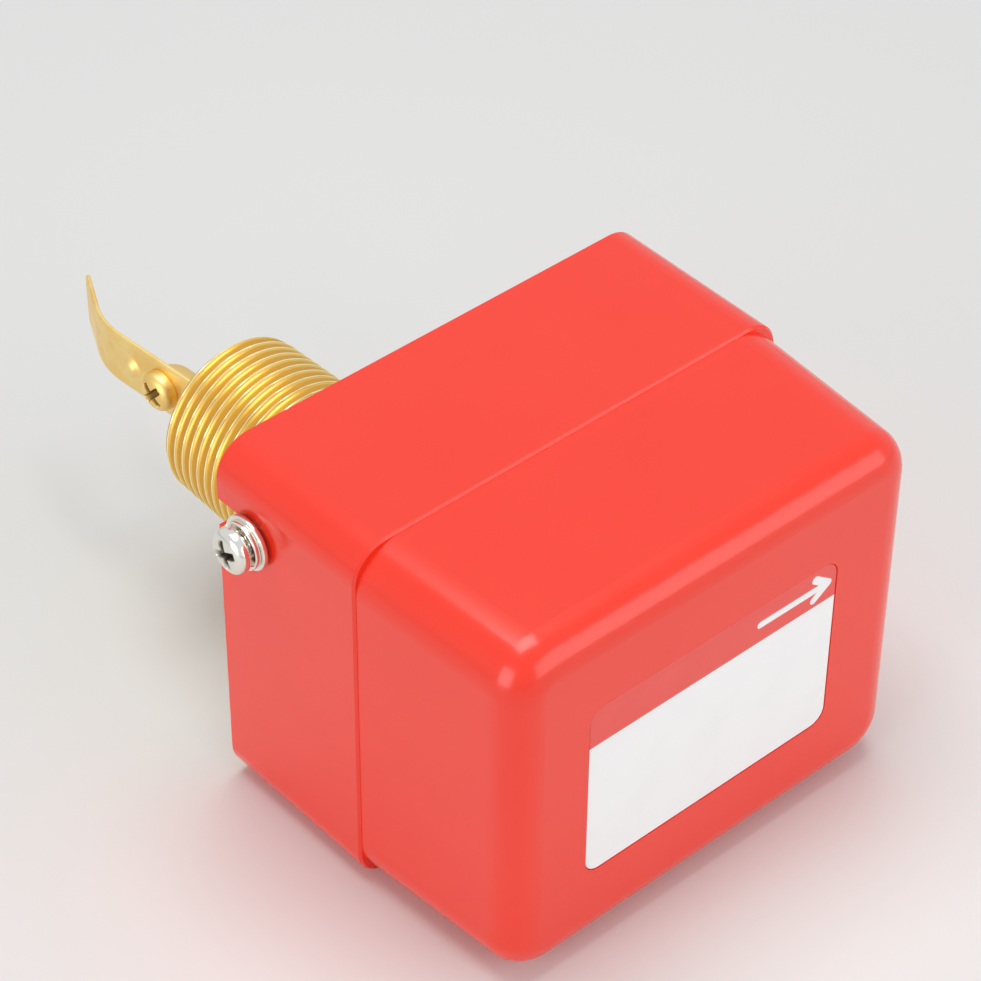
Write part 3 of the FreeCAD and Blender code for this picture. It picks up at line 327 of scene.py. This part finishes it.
def springSteel():
    return plated("springSteel", bright=paint(0.66, 0.66, 0.68), dark=paint(0.55, 0.55, 0.57),
                  roughness=0.2, patch=0.8 * mm)


def silver():
    return plated("silverContact", bright=paint(0.93, 0.92, 0.90), dark=paint(0.82, 0.81, 0.78),
                  roughness=0.16, patch=1 * mm)


def moulded(name, main, other, roughness, grain):
    # matt moulded plastic or rubber: cloudy colour and a fine eroded grain
    finish = Finish(name)
    cloud = finish.noise(spotSize=5 * mm, detail=4.0)
    pits = finish.noise(spotSize=grain, detail=3.0)
    finish.wear(
        BaseColor=finish.mix(cloud.step(0.3, 0.7), main, other),
        Roughness=roughness + 0.15 * pits)
    finish.bump(pits, strength=0.3, distance=0.05 * mm)
    return finish.material


def blackRubber():
    return moulded("blackRubber", main=paint(0.13, 0.13, 0.13), other=paint(0.18, 0.18, 0.17),
                   roughness=0.55, grain=0.5 * mm)


def blackPlastic():
    return moulded("blackPlastic", main=paint(0.11, 0.11, 0.12), other=paint(0.14, 0.14, 0.15),
                   roughness=0.35, grain=0.4 * mm)


def redButton():
    return moulded("redButton", main=paint(0.72, 0.10, 0.09), other=paint(0.66, 0.08, 0.08),
                   roughness=0.3, grain=0.4 * mm)


def bakelite():
    return moulded("brownBakelite", main=paint(0.30, 0.18, 0.12), other=paint(0.22, 0.13, 0.09),
                   roughness=0.28, grain=0.7 * mm)


def dress(finish, *nodes):
    # gives CAD nodes a finish in their own material slots
    for node in nodes:
        for spot in frame["nodes"][node].material_slots:
            spot.material = finish


def gridFaces(rows, columns, loop=False):
    # the quads of a grid whose columns close on themselves, and whose rows do too in a loop
    row, column = np.meshgrid(
        np.arange(rows if loop else rows - 1), np.arange(columns), indexing="ij")
    after = (row + 1) % rows
    beside = (column + 1) % columns
    quads = [row * columns + column, row * columns + beside,
             after * columns + beside, after * columns + column]
    return np.stack(quads, axis=-1).reshape(-1, 4).tolist()


def lathe(heights, radii, columns):
    # a surface round +Z: each point is (radius cos turn, radius sin turn, height)
    heights = np.asarray(heights, float)
    radii = np.asarray(radii, float).reshape(len(heights), -1)
    turn = np.linspace(0, 2 * math.pi, columns, endpoint=False)
    shape = (len(heights), columns)
    return np.stack([
        np.broadcast_to(radii, shape) * np.cos(turn),
        np.broadcast_to(radii, shape) * np.sin(turn),
        np.broadcast_to(heights[:, None], shape)], axis=-1)


def aimed(points, way, spot, spin=0.0):
    # turns points made round +Z so that they face the given way, and moves them to the spot
    turn = Vector((0, 0, 1)).rotation_difference(Vector(way)).to_matrix()
    turn = np.array(turn @ Matrix.Rotation(spin, 3, "Z"))
    return points @ turn.T + np.array(spot)


def piece(name, parts, body, finish, crease=32, recess=None):
    # one object from several grids, each (points, loop); open grids end in flat caps.
    # Edges turn sharp above the crease angle, in degrees. Recess gives each point of the
    # mesh a value that its finish can read. A piece given None as its body is attached to
    # no body
    points, faces, start = [], [], 0
    for grid, loop in parts:
        rows, columns = grid.shape[:2]
        points.extend(grid.reshape(-1, 3).tolist())
        found = gridFaces(rows, columns, loop)
        if not loop:
            found.append(list(range(columns))[::-1])
            found.append(list(range((rows - 1) * columns, rows * columns)))
        faces.extend([start + corner for corner in face] for face in found)
        start += rows * columns
    mesh = bpy.data.meshes.new(name)
    mesh.from_pydata(points, [], faces)
    mesh.shade_smooth()
    mesh.set_sharp_from_angle(angle=math.radians(crease))
    if recess is not None:
        drawn = mesh.attributes.new("recess", "FLOAT", "POINT")
        drawn.data.foreach_set("value", np.asarray(recess, np.float32).ravel())
    mesh.materials.append(finish)
    made = bpy.data.objects.new(name, mesh)
    bpy.context.scene.collection.objects.link(made)
    if body:
        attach(made, body)
    return made


fitting = {
    "pitch": 1.814 * mm, "depth": 0.36 * mm, "taper": 1 / 32, "gauge": 13.22 * mm,
    "middle": 9.75 * mm,  # the gauge radius is met here, half way along the thread
    "flatCrest": 0.06, "hollow": 3.0, "endChamfer": 1.0 * mm, "leadIn": 0.3 * mm,
    "bore": 9.0 * mm, "spigotBore": 6.2 * mm, "boreDepth": 31.0 * mm, "edge": 0.4 * mm,
    "neck": 11.8 * mm, "neckLength": 2.5 * mm, "spigot": 10.0 * mm,
    "hexFlats": 30.0 * mm, "hexLength": 12.0 * mm, "hexBevel": math.radians(30),
    "hexBevelInset": 0.3 * mm, "hexBevelShare": 0.16, "hexBevelRows": 20,
    "columns": 180, "rowsPerTurn": 18,
}


def threadRadius(height, turn, crest, pitch, depth, flat, hollow=1.0):
    # a helix's height above its root follows a triangle wave of (height / pitch - turn),
    # with its peaks and valleys cut flat by the given share. The wave raised to a power
    # above 1 leaves narrow crests over wide valleys
    wave = np.abs(2 * ((height / pitch - turn / (2 * math.pi)) % 1.0) - 1)
    return crest - depth + depth * (1 - np.clip((wave - flat) / (1 - 2 * flat), 0, 1)) ** hollow


def threadBrass(crest, root):
    # turned brass, with a painted highlight along the thread's crests and painted shade at its
    # roots
    finish = turnedBrass("threadedBrass")
    cleanBrass, dullBrass = paint(0.96, 0.83, 0.52), paint(0.91, 0.75, 0.42)
    cleanFlank, dullFlank = paint(0.97, 0.83, 0.46), paint(0.93, 0.76, 0.38)
    # colours for the painted shade in the thread's roots and the painted highlight on its crests
    paintedRootShade, paintedCrestHighlight = paint(0.88, 0.66, 0.27), paint(1.0, 0.96, 0.76)
    across, along, up = finish.axes()
    radius = (across * across + up * up).root()
    radius = radius + (along - fitting["middle"]) * fitting["taper"]
    height = radius.step(root, crest)
    # 1 on the threaded outside, 0 in the bore and behind the thread
    outside = radius.step(root - 0.9 * mm, root - 0.6 * mm)
    threaded = outside * along.step(-0.4 * mm, -0.1 * mm)
    tarnish = finish.noise(spotSize=3 * mm, detail=5.0)
    flank = finish.mix(tarnish, cleanFlank, dullFlank)
    # painted shade: darker towards the thread's roots
    flankWithRootShade = finish.mix(height.step(0.0, 0.35), paintedRootShade, flank)
    # painted highlight: a pale line along the thread's crests
    flankWithPaintedLight = finish.mix(height.step(0.8, 0.98), flankWithRootShade, paintedCrestHighlight)
    plain = finish.mix(tarnish, cleanBrass, dullBrass)
    finish.wear(BaseColor=finish.mix(threaded, plain, flankWithPaintedLight))
    return finish.material


def makeFitting():
    low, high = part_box("pipe_fitting")
    tip, back = high.y, low.y
    columns = fitting["columns"]
    turn = np.linspace(0, 2 * math.pi, columns, endpoint=False)
    hexEnd = -fitting["neckLength"]
    hexStart = hexEnd - fitting["hexLength"]
    edge = fitting["edge"]
    heights, radii = [], []

    def ring(height, radius):
        heights.append(height)
        radii.append(np.broadcast_to(radius, (columns,)))

    # outside, from the spigot's end to the thread's end
    ring(back, fitting["spigot"] - edge)
    ring(back + edge, fitting["spigot"])
    ring(hexStart, fitting["spigot"])
    flats = fitting["hexFlats"] / 2 / np.cos(turn % (math.pi / 3) - math.pi / 6)
    bevelStart = fitting["hexFlats"] / 2 - fitting["hexBevelInset"]
    shares = np.linspace(0, fitting["hexBevelShare"], fitting["hexBevelRows"])
    for share in np.concatenate([shares, 1 - shares[::-1]]):
        height = hexStart + share * (hexEnd - hexStart)
        toEnd = min(height - hexStart, hexEnd - height)
        ring(height, np.minimum(flats, bevelStart + toEnd / math.tan(fitting["hexBevel"])))
    ring(hexEnd, fitting["neck"])
    ring(-fitting["leadIn"], fitting["neck"])
    count = int(tip / fitting["pitch"] * fitting["rowsPerTurn"])
    for height in np.linspace(0, tip, count):
        crest = fitting["gauge"] + (tip / 2 - height) * fitting["taper"]
        ridge = threadRadius(height, turn, crest, fitting["pitch"], fitting["depth"],
                             fitting["flatCrest"], fitting["hollow"])
        chamfer = crest - fitting["endChamfer"] + (tip - height)
        leadOut = fitting["neck"] + height
        ring(height, np.minimum(np.minimum(ridge, chamfer), leadOut))
    # inside, back down the bore
    ring(tip, fitting["bore"] + edge)
    ring(tip - edge, fitting["bore"])
    ring(tip - fitting["boreDepth"], fitting["bore"])
    ring(tip - fitting["boreDepth"], fitting["spigotBore"])
    ring(back, fitting["spigotBore"])
    body = lathe(heights, np.array(radii), columns)
    made = piece("threadedFitting", [(aimed(body, (0, 1, 0), (0, 0, 0)), True)],
                 "housing",
                 threadBrass(fitting["gauge"], fitting["gauge"] - fitting["depth"]))
    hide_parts("pipe_fitting")
    print("fitting: thread rows", count)


panHead = {
    "rim": 0.3, "rimStart": 0.06, "undercut": 0.04, "fullness": 3.2, "roundness": 2.2,
    "middle": 0.012,  # the rings stop this far, in radians, from the head's middle
    "armLength": 0.66, "armWidth": 0.15, "armSoft": 0.035, "armRamp": 0.4, "armDepth": 0.72,
    "recessShadeDepth": 0.3, "threadDepth": 0.5, "threadFlat": 0.12, "tipTaper": 0.6,
    "rowsPerTurn": 8, "fewestRows": 4,
}


def screwGrid(head, height, shank, length, pitch, rings=40, columns=120):
    # a pan head screw round +Z with its head's underside at zero. The head's top is the
    # curve height * (rim + (1 - rim) (1 - (r / head)^fullness)^(1 / roundness)), less a
    # cross recess whose depth falls to nothing at the ends and sides of its two arms. The
    # shares in panHead are of the head's radius or height, or of the thread's pitch. The
    # second array tells how deep in the recess each point is, from 0 to 1
    turn = np.linspace(0, 2 * math.pi, columns, endpoint=False)
    count = max(int(length / pitch * panHead["rowsPerTurn"]), panHead["fewestRows"])
    shankHeights = np.linspace(-length, 0, count)
    ridge = threadRadius(shankHeights[:, None], turn[None, :], shank, pitch,
                         panHead["threadDepth"] * pitch, panHead["threadFlat"])
    ridge = np.minimum(ridge, (shankHeights + length + panHead["tipTaper"] * shank)[:, None])
    underside = np.full((1, columns), head - panHead["undercut"] * height)
    rim = np.full((1, columns), head)
    lean = np.linspace(math.pi / 2, panHead["middle"], rings)
    radii = np.repeat((head * np.sin(lean))[:, None], columns, axis=1)
    across = radii * np.cos(turn)
    up = radii * np.sin(turn)
    bulge = (1 - np.clip(radii / head, 0, 1) ** panHead["fullness"]) ** (1 / panHead["roundness"])
    dome = height * (panHead["rim"] + (1 - panHead["rim"]) * bulge)
    armLength = panHead["armLength"] * head
    armWidth = panHead["armWidth"] * head
    soft = panHead["armSoft"] * head
    recess = np.zeros_like(radii)
    for along, sideways in ((across, up), (up, across)):
        walls = np.clip((armWidth + soft - np.abs(sideways)) / (2 * soft), 0, 1)
        floor = np.clip((armLength - np.abs(along)) / (panHead["armRamp"] * armLength), 0, 1)
        recess = np.maximum(recess, panHead["armDepth"] * height * walls * floor)
    heights = np.concatenate([
        np.repeat(shankHeights[:, None], columns, axis=1),
        np.zeros((1, columns)), np.full((1, columns), panHead["rimStart"] * height),
        dome - recess])
    # painted shade: each point of the head darkens with its depth in the cross recess
    recessShade = np.zeros_like(heights)
    recessShade[-rings:] = np.clip(recess / (panHead["recessShadeDepth"] * height), 0, 1)
    radii = np.concatenate([ridge, underside, rim, radii])
    return np.stack([radii * np.cos(turn), radii * np.sin(turn), heights], axis=-1), recessShade


def screws(name, node, size, spots, way, body, finish, spin=0.4, spinStep=0.7):
    # copies of one screw; each spot is the middle of its head's underside. Way is one
    # direction for all heads or a list of one each, and each recess is turned on by a step
    ways = way if isinstance(way, list) else [way] * len(spots)
    grid, recessShade = screwGrid(**size)
    parts = [
        (aimed(grid, facing, spot, spin + spinStep * number), False)
        for number, (spot, facing) in enumerate(zip(spots, ways))]
    made = piece(name, parts, body, finish, recess=[recessShade] * len(spots))
    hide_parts(node)


coverScrew = {"head": 3.4 * mm, "height": 2.0 * mm, "shank": 2.0 * mm,
              "length": 11.0 * mm, "pitch": 0.7 * mm, "rings": 56, "columns": 160}


def makeCoverScrews(finish):
    low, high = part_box("cover_screws")
    middle = (low + high) / 2
    height = coverScrew["height"]
    away = (high.y - low.y) / 2
    spots = [(low.x + height, middle.y, high.z - away),
             (high.x - height, middle.y, low.z + away)]
    screws("coverScrewPair", "cover_screws", coverScrew, spots, [(-1, 0, 0), (1, 0, 0)],
           "housing", finish)


paddle = {
    "root": 47.0 * mm, "bend": 69.0 * mm, "tip": 12.4 * mm, "angle": math.radians(31),
    "radius": 14.4 * mm, "thickness": 0.8 * mm, "width": 9.3 * mm, "corner": 1.4 * mm,
    "edgeFlat": 12, "edgeRound": 3, "bluntness": 0.8,
    "dimpleOut": 61.9 * mm, "dimpleRadius": 1.5 * mm, "dimpleRise": 0.9 * mm, "dimpleFlat": 4,
    "screwOut": 54.9 * mm, "rows": 230, "columns": 160,
}
paddleScrew = {"head": 3.2 * mm, "height": 2.5 * mm, "shank": 1.5 * mm,
               "length": 4.0 * mm, "pitch": 0.5 * mm, "rings": 56, "columns": 160}


def makePaddleScrew(finish, lean, pivot):
    # square to the leaning rod, out of the strip's upstream face
    along = Vector((-math.sin(lean), math.cos(lean), 0))
    away = Vector((-math.cos(lean), -math.sin(lean), 0))
    spot = pivot + along * paddle["screwOut"] + away * paddle["thickness"] / 2
    screws("paddleScrew", "paddle_screw", paddleScrew, [spot], away,
           "paddle_lever", finish, spin=0.9)


def makePaddle(finish, lean, pivot):
    # a strip that runs straight, bends round an arc and runs straight again. Its section is
    # flat with round edges: half the thickness * (1 - |up / half the width|^edgeFlat)^(1 /
    # edgeRound). The dimple rises off the upstream face by rise * exp(-(distance /
    # radius)^dimpleFlat)
    tangent = paddle["radius"] * math.tan(paddle["angle"] / 2)
    straight = paddle["bend"] - tangent - paddle["root"]
    length = straight + paddle["radius"] * paddle["angle"] + paddle["tip"] - tangent
    far, pace = np.linspace(0, length, paddle["rows"], retstep=True)
    heading = np.clip((far - straight) / paddle["radius"], 0, paddle["angle"])[:, None]
    side = (np.cumsum(np.sin(heading)) * pace)[:, None]
    out = (paddle["root"] + (np.cumsum(np.cos(heading)) - 1) * pace)[:, None]
    toEnd = (length - far)[:, None]
    corner = np.clip(1 - toEnd / paddle["corner"], 0, 1)
    blunt = np.clip(1 - toEnd / paddle["thickness"], 0, 1)
    halfWidth = paddle["width"] / 2 - paddle["corner"] * (1 - np.sqrt(1 - corner ** 2))
    halfThick = paddle["thickness"] / 2 * np.sqrt(1 - paddle["bluntness"] * blunt ** 2)
    turn = np.linspace(0, 2 * math.pi, paddle["columns"], endpoint=False)[None, :]
    up = halfWidth * np.cos(turn)
    section = (1 - np.abs(np.cos(turn)) ** paddle["edgeFlat"]) ** (1 / paddle["edgeRound"])
    off = halfThick * section * np.sign(np.sin(turn))
    distance = np.hypot(out - paddle["dimpleOut"], up) / paddle["dimpleRadius"]
    dimple = paddle["dimpleRise"] * np.exp(-distance ** paddle["dimpleFlat"])
    off = off - dimple * (np.sin(turn) < 0)
    along = np.array([-math.sin(lean), math.cos(lean), 0])
    aside = np.array([math.cos(lean), math.sin(lean), 0])
    x = side + off * np.cos(heading)
    y = out - off * np.sin(heading)
    grid = (np.array(pivot) + x[:, :, None] * aside + y[:, :, None] * along
            + up[:, :, None] * np.array([0, 0, 1]))
    made = piece("paddleStrip", [(grid, False)], "paddle_lever", finish)
    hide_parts("paddle")


rockerArm = {"thickness": 1.5 * mm, "screwInward": 9.5 * mm}
rockerScrew = {"head": 2.6 * mm, "height": 1.8 * mm, "shank": 1.5 * mm,
               "length": 3.5 * mm, "pitch": 0.5 * mm, "rings": 28, "columns": 96}


def makeRockerScrew(finish, lean, pivot):
    # square to the leaning rod, out of the rocker arm's downstream face
    along = Vector((-math.sin(lean), math.cos(lean), 0))
    away = Vector((math.cos(lean), math.sin(lean), 0))
    spot = pivot - along * rockerArm["screwInward"] + away * rockerArm["thickness"]
    screws("rockerArmScrew", "rocker_screw", rockerScrew, [spot], away,
           "paddle_lever", finish)


switchScrew = {"head": 2.7 * mm, "height": 1.8 * mm, "shank": 1.5 * mm,
               "length": 11.8 * mm, "pitch": 0.5 * mm, "rings": 28, "columns": 96}


def makeSwitchScrews(finish):
    low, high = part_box("switch_screws")
    away = switchScrew["head"]
    face = high.z - switchScrew["height"]
    middle = (low.x + high.x) / 2
    screws("switchScrewPair", "switch_screws", switchScrew,
           [(middle, low.y + away, face), (middle, high.y - away, face)], (0, 0, 1),
           "housing", finish)


bracketScrew = {"head": 1.9 * mm, "height": 1.6 * mm, "shank": 1.4 * mm,
                "length": 3.0 * mm, "pitch": 0.5 * mm, "rings": 24, "columns": 80}
shelfScrewPitch = 4.42 * mm


def makeBracketScrews(finish):
    # two in the range bracket's foot and two, one beside the other, in the switch bracket's
    low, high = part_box("bracket_screws")
    away = bracketScrew["head"]
    face = low.y + bracketScrew["height"]
    spots = [(low.x + away, face, high.z - away), (low.x + away, face, away - high.z),
             (high.x - away, face, low.z + away),
             (high.x - away - shelfScrewPitch, face, low.z + away)]
    screws("bracketScrewSet", "bracket_screws", bracketScrew, spots, (0, -1, 0),
           "housing", finish)


terminalScrew = {"head": 3.0 * mm, "height": 2.0 * mm, "shank": 1.5 * mm,
                 "length": 5.3 * mm, "pitch": 0.5 * mm, "rings": 28, "columns": 96}


def makeTerminalScrews(finish):
    low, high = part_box("terminal_screws")
    away = terminalScrew["head"]
    face = low.y + terminalScrew["height"]
    middle = (low + high) / 2
    spots = [(across, face, middle.z) for across in (low.x + away, middle.x, high.x - away)]
    screws("terminalScrewSet", "terminal_screws", terminalScrew, spots, (0, -1, 0),
           "housing", finish)


earthScrew = {"head": 3.8 * mm, "height": 2.4 * mm, "shank": 2.0 * mm,
              "length": 3.5 * mm, "pitch": 0.7 * mm, "rings": 36, "columns": 120}


def makeEarthScrew(finish):
    low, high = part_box("earth_screw")
    middle = (low + high) / 2
    screws("earthScrew", "earth_screw", earthScrew,
           [(middle.x, low.y + earthScrew["height"], middle.z)], (0, -1, 0),
           "housing", finish)


def roundedBar(width, height, corner, count):
    # the outline of a rectangle with round corners, anticlockwise round its middle
    hubs = [(1, -1), (1, 1), (-1, 1), (-1, -1)]
    spots = []
    for quarter, (right, top) in enumerate(hubs):
        turn = np.linspace(quarter - 1, quarter, count) * math.pi / 2
        spots.append(np.stack([
            right * (width / 2 - corner) + corner * np.cos(turn),
            top * (height / 2 - corner) + corner * np.sin(turn)], axis=-1))
    return np.concatenate(spots)


washer = {"hole": 2.15 * mm, "flatOuter": 4.1 * mm, "flatThick": 0.8 * mm, "lift": 0.3 * mm,
          "springOuter": 3.6 * mm, "springThick": 0.9 * mm, "rise": 0.3 * mm,
          "gapAngle": math.radians(11), "splitTurn": 0.9, "corner": 0.2 * mm,
          "cornerPoints": 5, "rows": 96}


def ringGrid(hole, outer, thick, corner, turns):
    # a bar bent round +Z: rows go round the ring and columns round the bar's outline
    outline = roundedBar(outer - hole, thick, corner, washer["cornerPoints"])
    radius = (hole + outer) / 2 + outline[None, :, 0]
    turn = turns[:, None]
    height = np.tile(outline[:, 1], (len(turns), 1))
    return np.stack([radius * np.cos(turn), radius * np.sin(turn), height], axis=-1)


def washerPair(name, node, outer, thick, gap, rise, finish):
    # one washer under each cover screw. A gap opens the ring over that angle to each side
    # of its split, and the rise is how far one end of the split stands above the other
    low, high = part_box(node)
    middle = (low + high) / 2
    away = (high.y - low.y) / 2
    isOpen = gap > 0
    turns = np.linspace(gap, 2 * math.pi - gap, washer["rows"], endpoint=isOpen)
    grid = ringGrid(washer["hole"], outer, thick, washer["corner"], -turns)
    grid[:, :, 2] += rise * np.linspace(-0.5, 0.5, washer["rows"])[:, None]
    inward = thick / 2 - washer["lift"] + rise / 2
    parts = []
    for side, edge, up in ((-1, low.x, high.z - away), (1, high.x, low.z + away)):
        spot = (edge - side * inward, middle.y, up)
        parts.append((aimed(grid, (side, 0, 0), spot, washer["splitTurn"]), not isOpen))
    made = piece(name, parts, "housing", finish)
    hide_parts(node)


def makeWashers(finish):
    washerPair("flatWasherPair", "flat_washers", washer["flatOuter"], washer["flatThick"],
               gap=0.0, rise=0.0, finish=finish)
    washerPair("springWasherPair", "spring_washers", washer["springOuter"],
               washer["springThick"], gap=washer["gapAngle"], rise=washer["rise"],
               finish=finish)


spring = {"radius": 4.0 * mm, "wire": 0.8 * mm, "turns": 6.0, "closed": 0.9,
          "closedPitch": 0.38, "crease": 60, "rowsPerTurn": 36, "columns": 10}


def makeRangeSpring(finish):
    # a coil round X whose pitch falls to a share of the open pitch over its closed end turns
    low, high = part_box("range_spring")
    middle = (low + high) / 2
    turns = np.linspace(0, spring["turns"], int(spring["turns"] * spring["rowsPerTurn"]))
    isClosed = (turns < spring["closed"]) | (turns > spring["turns"] - spring["closed"])
    pitch = np.where(isClosed, spring["closedPitch"], 1.0)
    travel = np.cumsum(pitch)
    travel = (travel - travel[0]) / (travel[-1] - travel[0])
    start, end = low.x + spring["wire"] / 2, high.x - spring["wire"] / 2
    along = start + travel * (end - start)
    turn = (2 * math.pi * turns)[:, None]
    around = np.linspace(0, 2 * math.pi, spring["columns"], endpoint=False)[None, :]
    radius = spring["radius"] + spring["wire"] / 2 * np.cos(around)
    grid = np.stack([
        along[:, None] + spring["wire"] / 2 * np.sin(around),
        middle.y + radius * np.cos(turn),
        middle.z + radius * np.sin(turn)], axis=-1)
    # the coil in two halves, each its own piece attached to no body
    half = len(turns) // 2
    seatEnd = piece("rangeCoilSeatEnd", [(grid[:half + 1], False)], None,
                    finish, spring["crease"])
    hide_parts("range_spring")
    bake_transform(seatEnd)
    armEnd = piece("rangeCoilArmEnd", [(grid[half:], False)], None,
                   finish, spring["crease"])
    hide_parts("range_spring")
    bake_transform(armEnd)


def softLight(name, spot, target, size, power, tint):
    lamp = bpy.data.lights.new(name, "AREA")
    lamp.shape = "RECTANGLE"
    lamp.size, lamp.size_y = size
    lamp.energy = power
    lamp.color = tint
    made = bpy.data.objects.new(name, lamp)
    made.location = spot
    made.rotation_euler = (Vector(target) - Vector(spot)).to_track_quat("-Z", "Y").to_euler()
    bpy.context.scene.collection.objects.link(made)


studio = {
    "floorHalf": 3.0, "floorGap": 0.05 * mm, "floorCloud": 0.4,
    "walls": (0.92, 0.93, 0.94), "wallLight": 0.42, "wallMirrored": 0.95,
}
softBoxes = [
    {"name": "topBox", "spot": (0.02, 0.06, 0.75), "target": (0.01, -0.02, 0),
     "size": (0.55, 0.45), "power": 3.15, "tint": (1, 0.99, 0.97)},
    {"name": "leftBox", "spot": (-0.75, -0.12, 0.22), "target": (0, -0.03, 0),
     "size": (0.5, 0.5), "power": 1.9, "tint": (1, 0.98, 0.98)},
    {"name": "frontBox", "spot": (0.28, -0.75, 0.30), "target": (0.01, -0.04, 0),
     "size": (0.85, 0.55), "power": 2.4, "tint": (1, 1, 1)},
]


def makeFloor():
    # a pale floor just under the part
    ground = cadBox[0].z - studio["floorGap"]
    half = studio["floorHalf"]
    mesh = bpy.data.meshes.new("studioFloor")
    corners = [(-half, -half, ground), (half, -half, ground),
               (half, half, ground), (-half, half, ground)]
    mesh.from_pydata(corners, [], [(0, 1, 2, 3)])
    floor = bpy.data.objects.new("studioFloor", mesh)
    bpy.context.scene.collection.objects.link(floor)
    finish = Finish("paleFloor")
    cloud = finish.noise(spotSize=studio["floorCloud"], detail=2.0)
    finish.wear(BaseColor=finish.mix(cloud, paint(0.90, 0.90, 0.90), paint(0.92, 0.92, 0.91)),
                Roughness=0.6 + 0.1 * cloud)
    mesh.materials.append(finish.material)


def makeRoom():
    # a dim pale room, which mirrored rays see as bright as its walls
    world = bpy.data.worlds.new("studioRoom")
    world.use_nodes = True
    bpy.context.scene.world = world
    room = world.node_tree.nodes["Background"]
    room.inputs["Color"].default_value = paint(*studio["walls"])
    path = world.node_tree.nodes.new("ShaderNodeLightPath")
    level = world.node_tree.nodes.new("ShaderNodeMapRange")
    level.inputs["To Min"].default_value = studio["wallLight"]
    level.inputs["To Max"].default_value = studio["wallMirrored"]
    world.node_tree.links.new(path.outputs["Is Glossy Ray"], level.inputs["Value"])
    world.node_tree.links.new(level.outputs[0], room.inputs["Strength"])


viewpoint = {
    "sensor": 36.0, "lens": 128.433, "nearest": 0.01, "shift": (0.00061, 0.00844),
    "eye": (-0.233866, -0.299959, 0.330874), "target": (0.015694, -0.020109, 0.000112),
    "roll": math.radians(0.5375),
}


def makeCamera():
    # a long lens above the upstream side, looking down at the label's face
    camera = bpy.data.cameras.new("camera")
    camera.sensor_width = viewpoint["sensor"]
    camera.lens = viewpoint["lens"]
    camera.clip_start = viewpoint["nearest"]
    camera.shift_x, camera.shift_y = viewpoint["shift"]
    eye = Vector(viewpoint["eye"])
    sight = (Vector(viewpoint["target"]) - eye).to_track_quat("-Z", "Y").to_matrix()
    made = bpy.data.objects.new("camera", camera)
    turn = sight @ Matrix.Rotation(viewpoint["roll"], 3, "Z")
    made.matrix_world = Matrix.Translation(eye) @ turn.to_4x4()
    bpy.context.scene.collection.objects.link(made)
    bpy.context.scene.camera = made


def joint(name):
    return next(found for found in frame["joints"] if found["name"] == name)


makeCamera()
makeFloor()
for box in softBoxes:
    softLight(**box)
makeRoom()
print("camera and stage ready")

nickelFinish, zincFinish = nickel(), zinc()
brassFinish, stripFinish = turnedBrass().material, stripBrass()
dress(redShell(), "cover")
dress(printedLabel(), "label_sheet")
dress(zincFinish, "base_plate", "range_bracket", "switch_bracket", "rocker_arm", "pivot_pin",
      "terminal_clamps")
dress(brassFinish, "lever_stem", "fitting_nut", "range_screw", "spring_seat")
dress(bronzeBellows(), "bellows")
dress(blackRubber(), "cable_grommet", "fitting_gasket")
dress(blackPlastic(), "switch_case")
dress(redButton(), "switch_plunger")
dress(springSteel(), "switch_lever")
dress(silver(), "switch_blades")
dress(bakelite(), "terminal_block")
print("CAD nodes dressed")

leverLean = math.radians(4.2)  # how far the lever leans upstream when no water flows
leverPivot = Vector(joint("paddle_swing")["pos_m"])
makeFitting()
makeCoverScrews(nickelFinish)
makeWashers(nickelFinish)
makePaddle(stripFinish, leverLean, leverPivot)
makePaddleScrew(stripFinish, leverLean, leverPivot)
makeRockerScrew(zincFinish, leverLean, leverPivot)
makeSwitchScrews(zincFinish)
makeBracketScrews(zincFinish)
makeTerminalScrews(zincFinish)
makeEarthScrew(brassFinish)
makeRangeSpring(springSteel())
print("detail pieces made")

bpy.context.scene.view_settings.view_transform = "Standard"
bpy.context.view_layer.update()
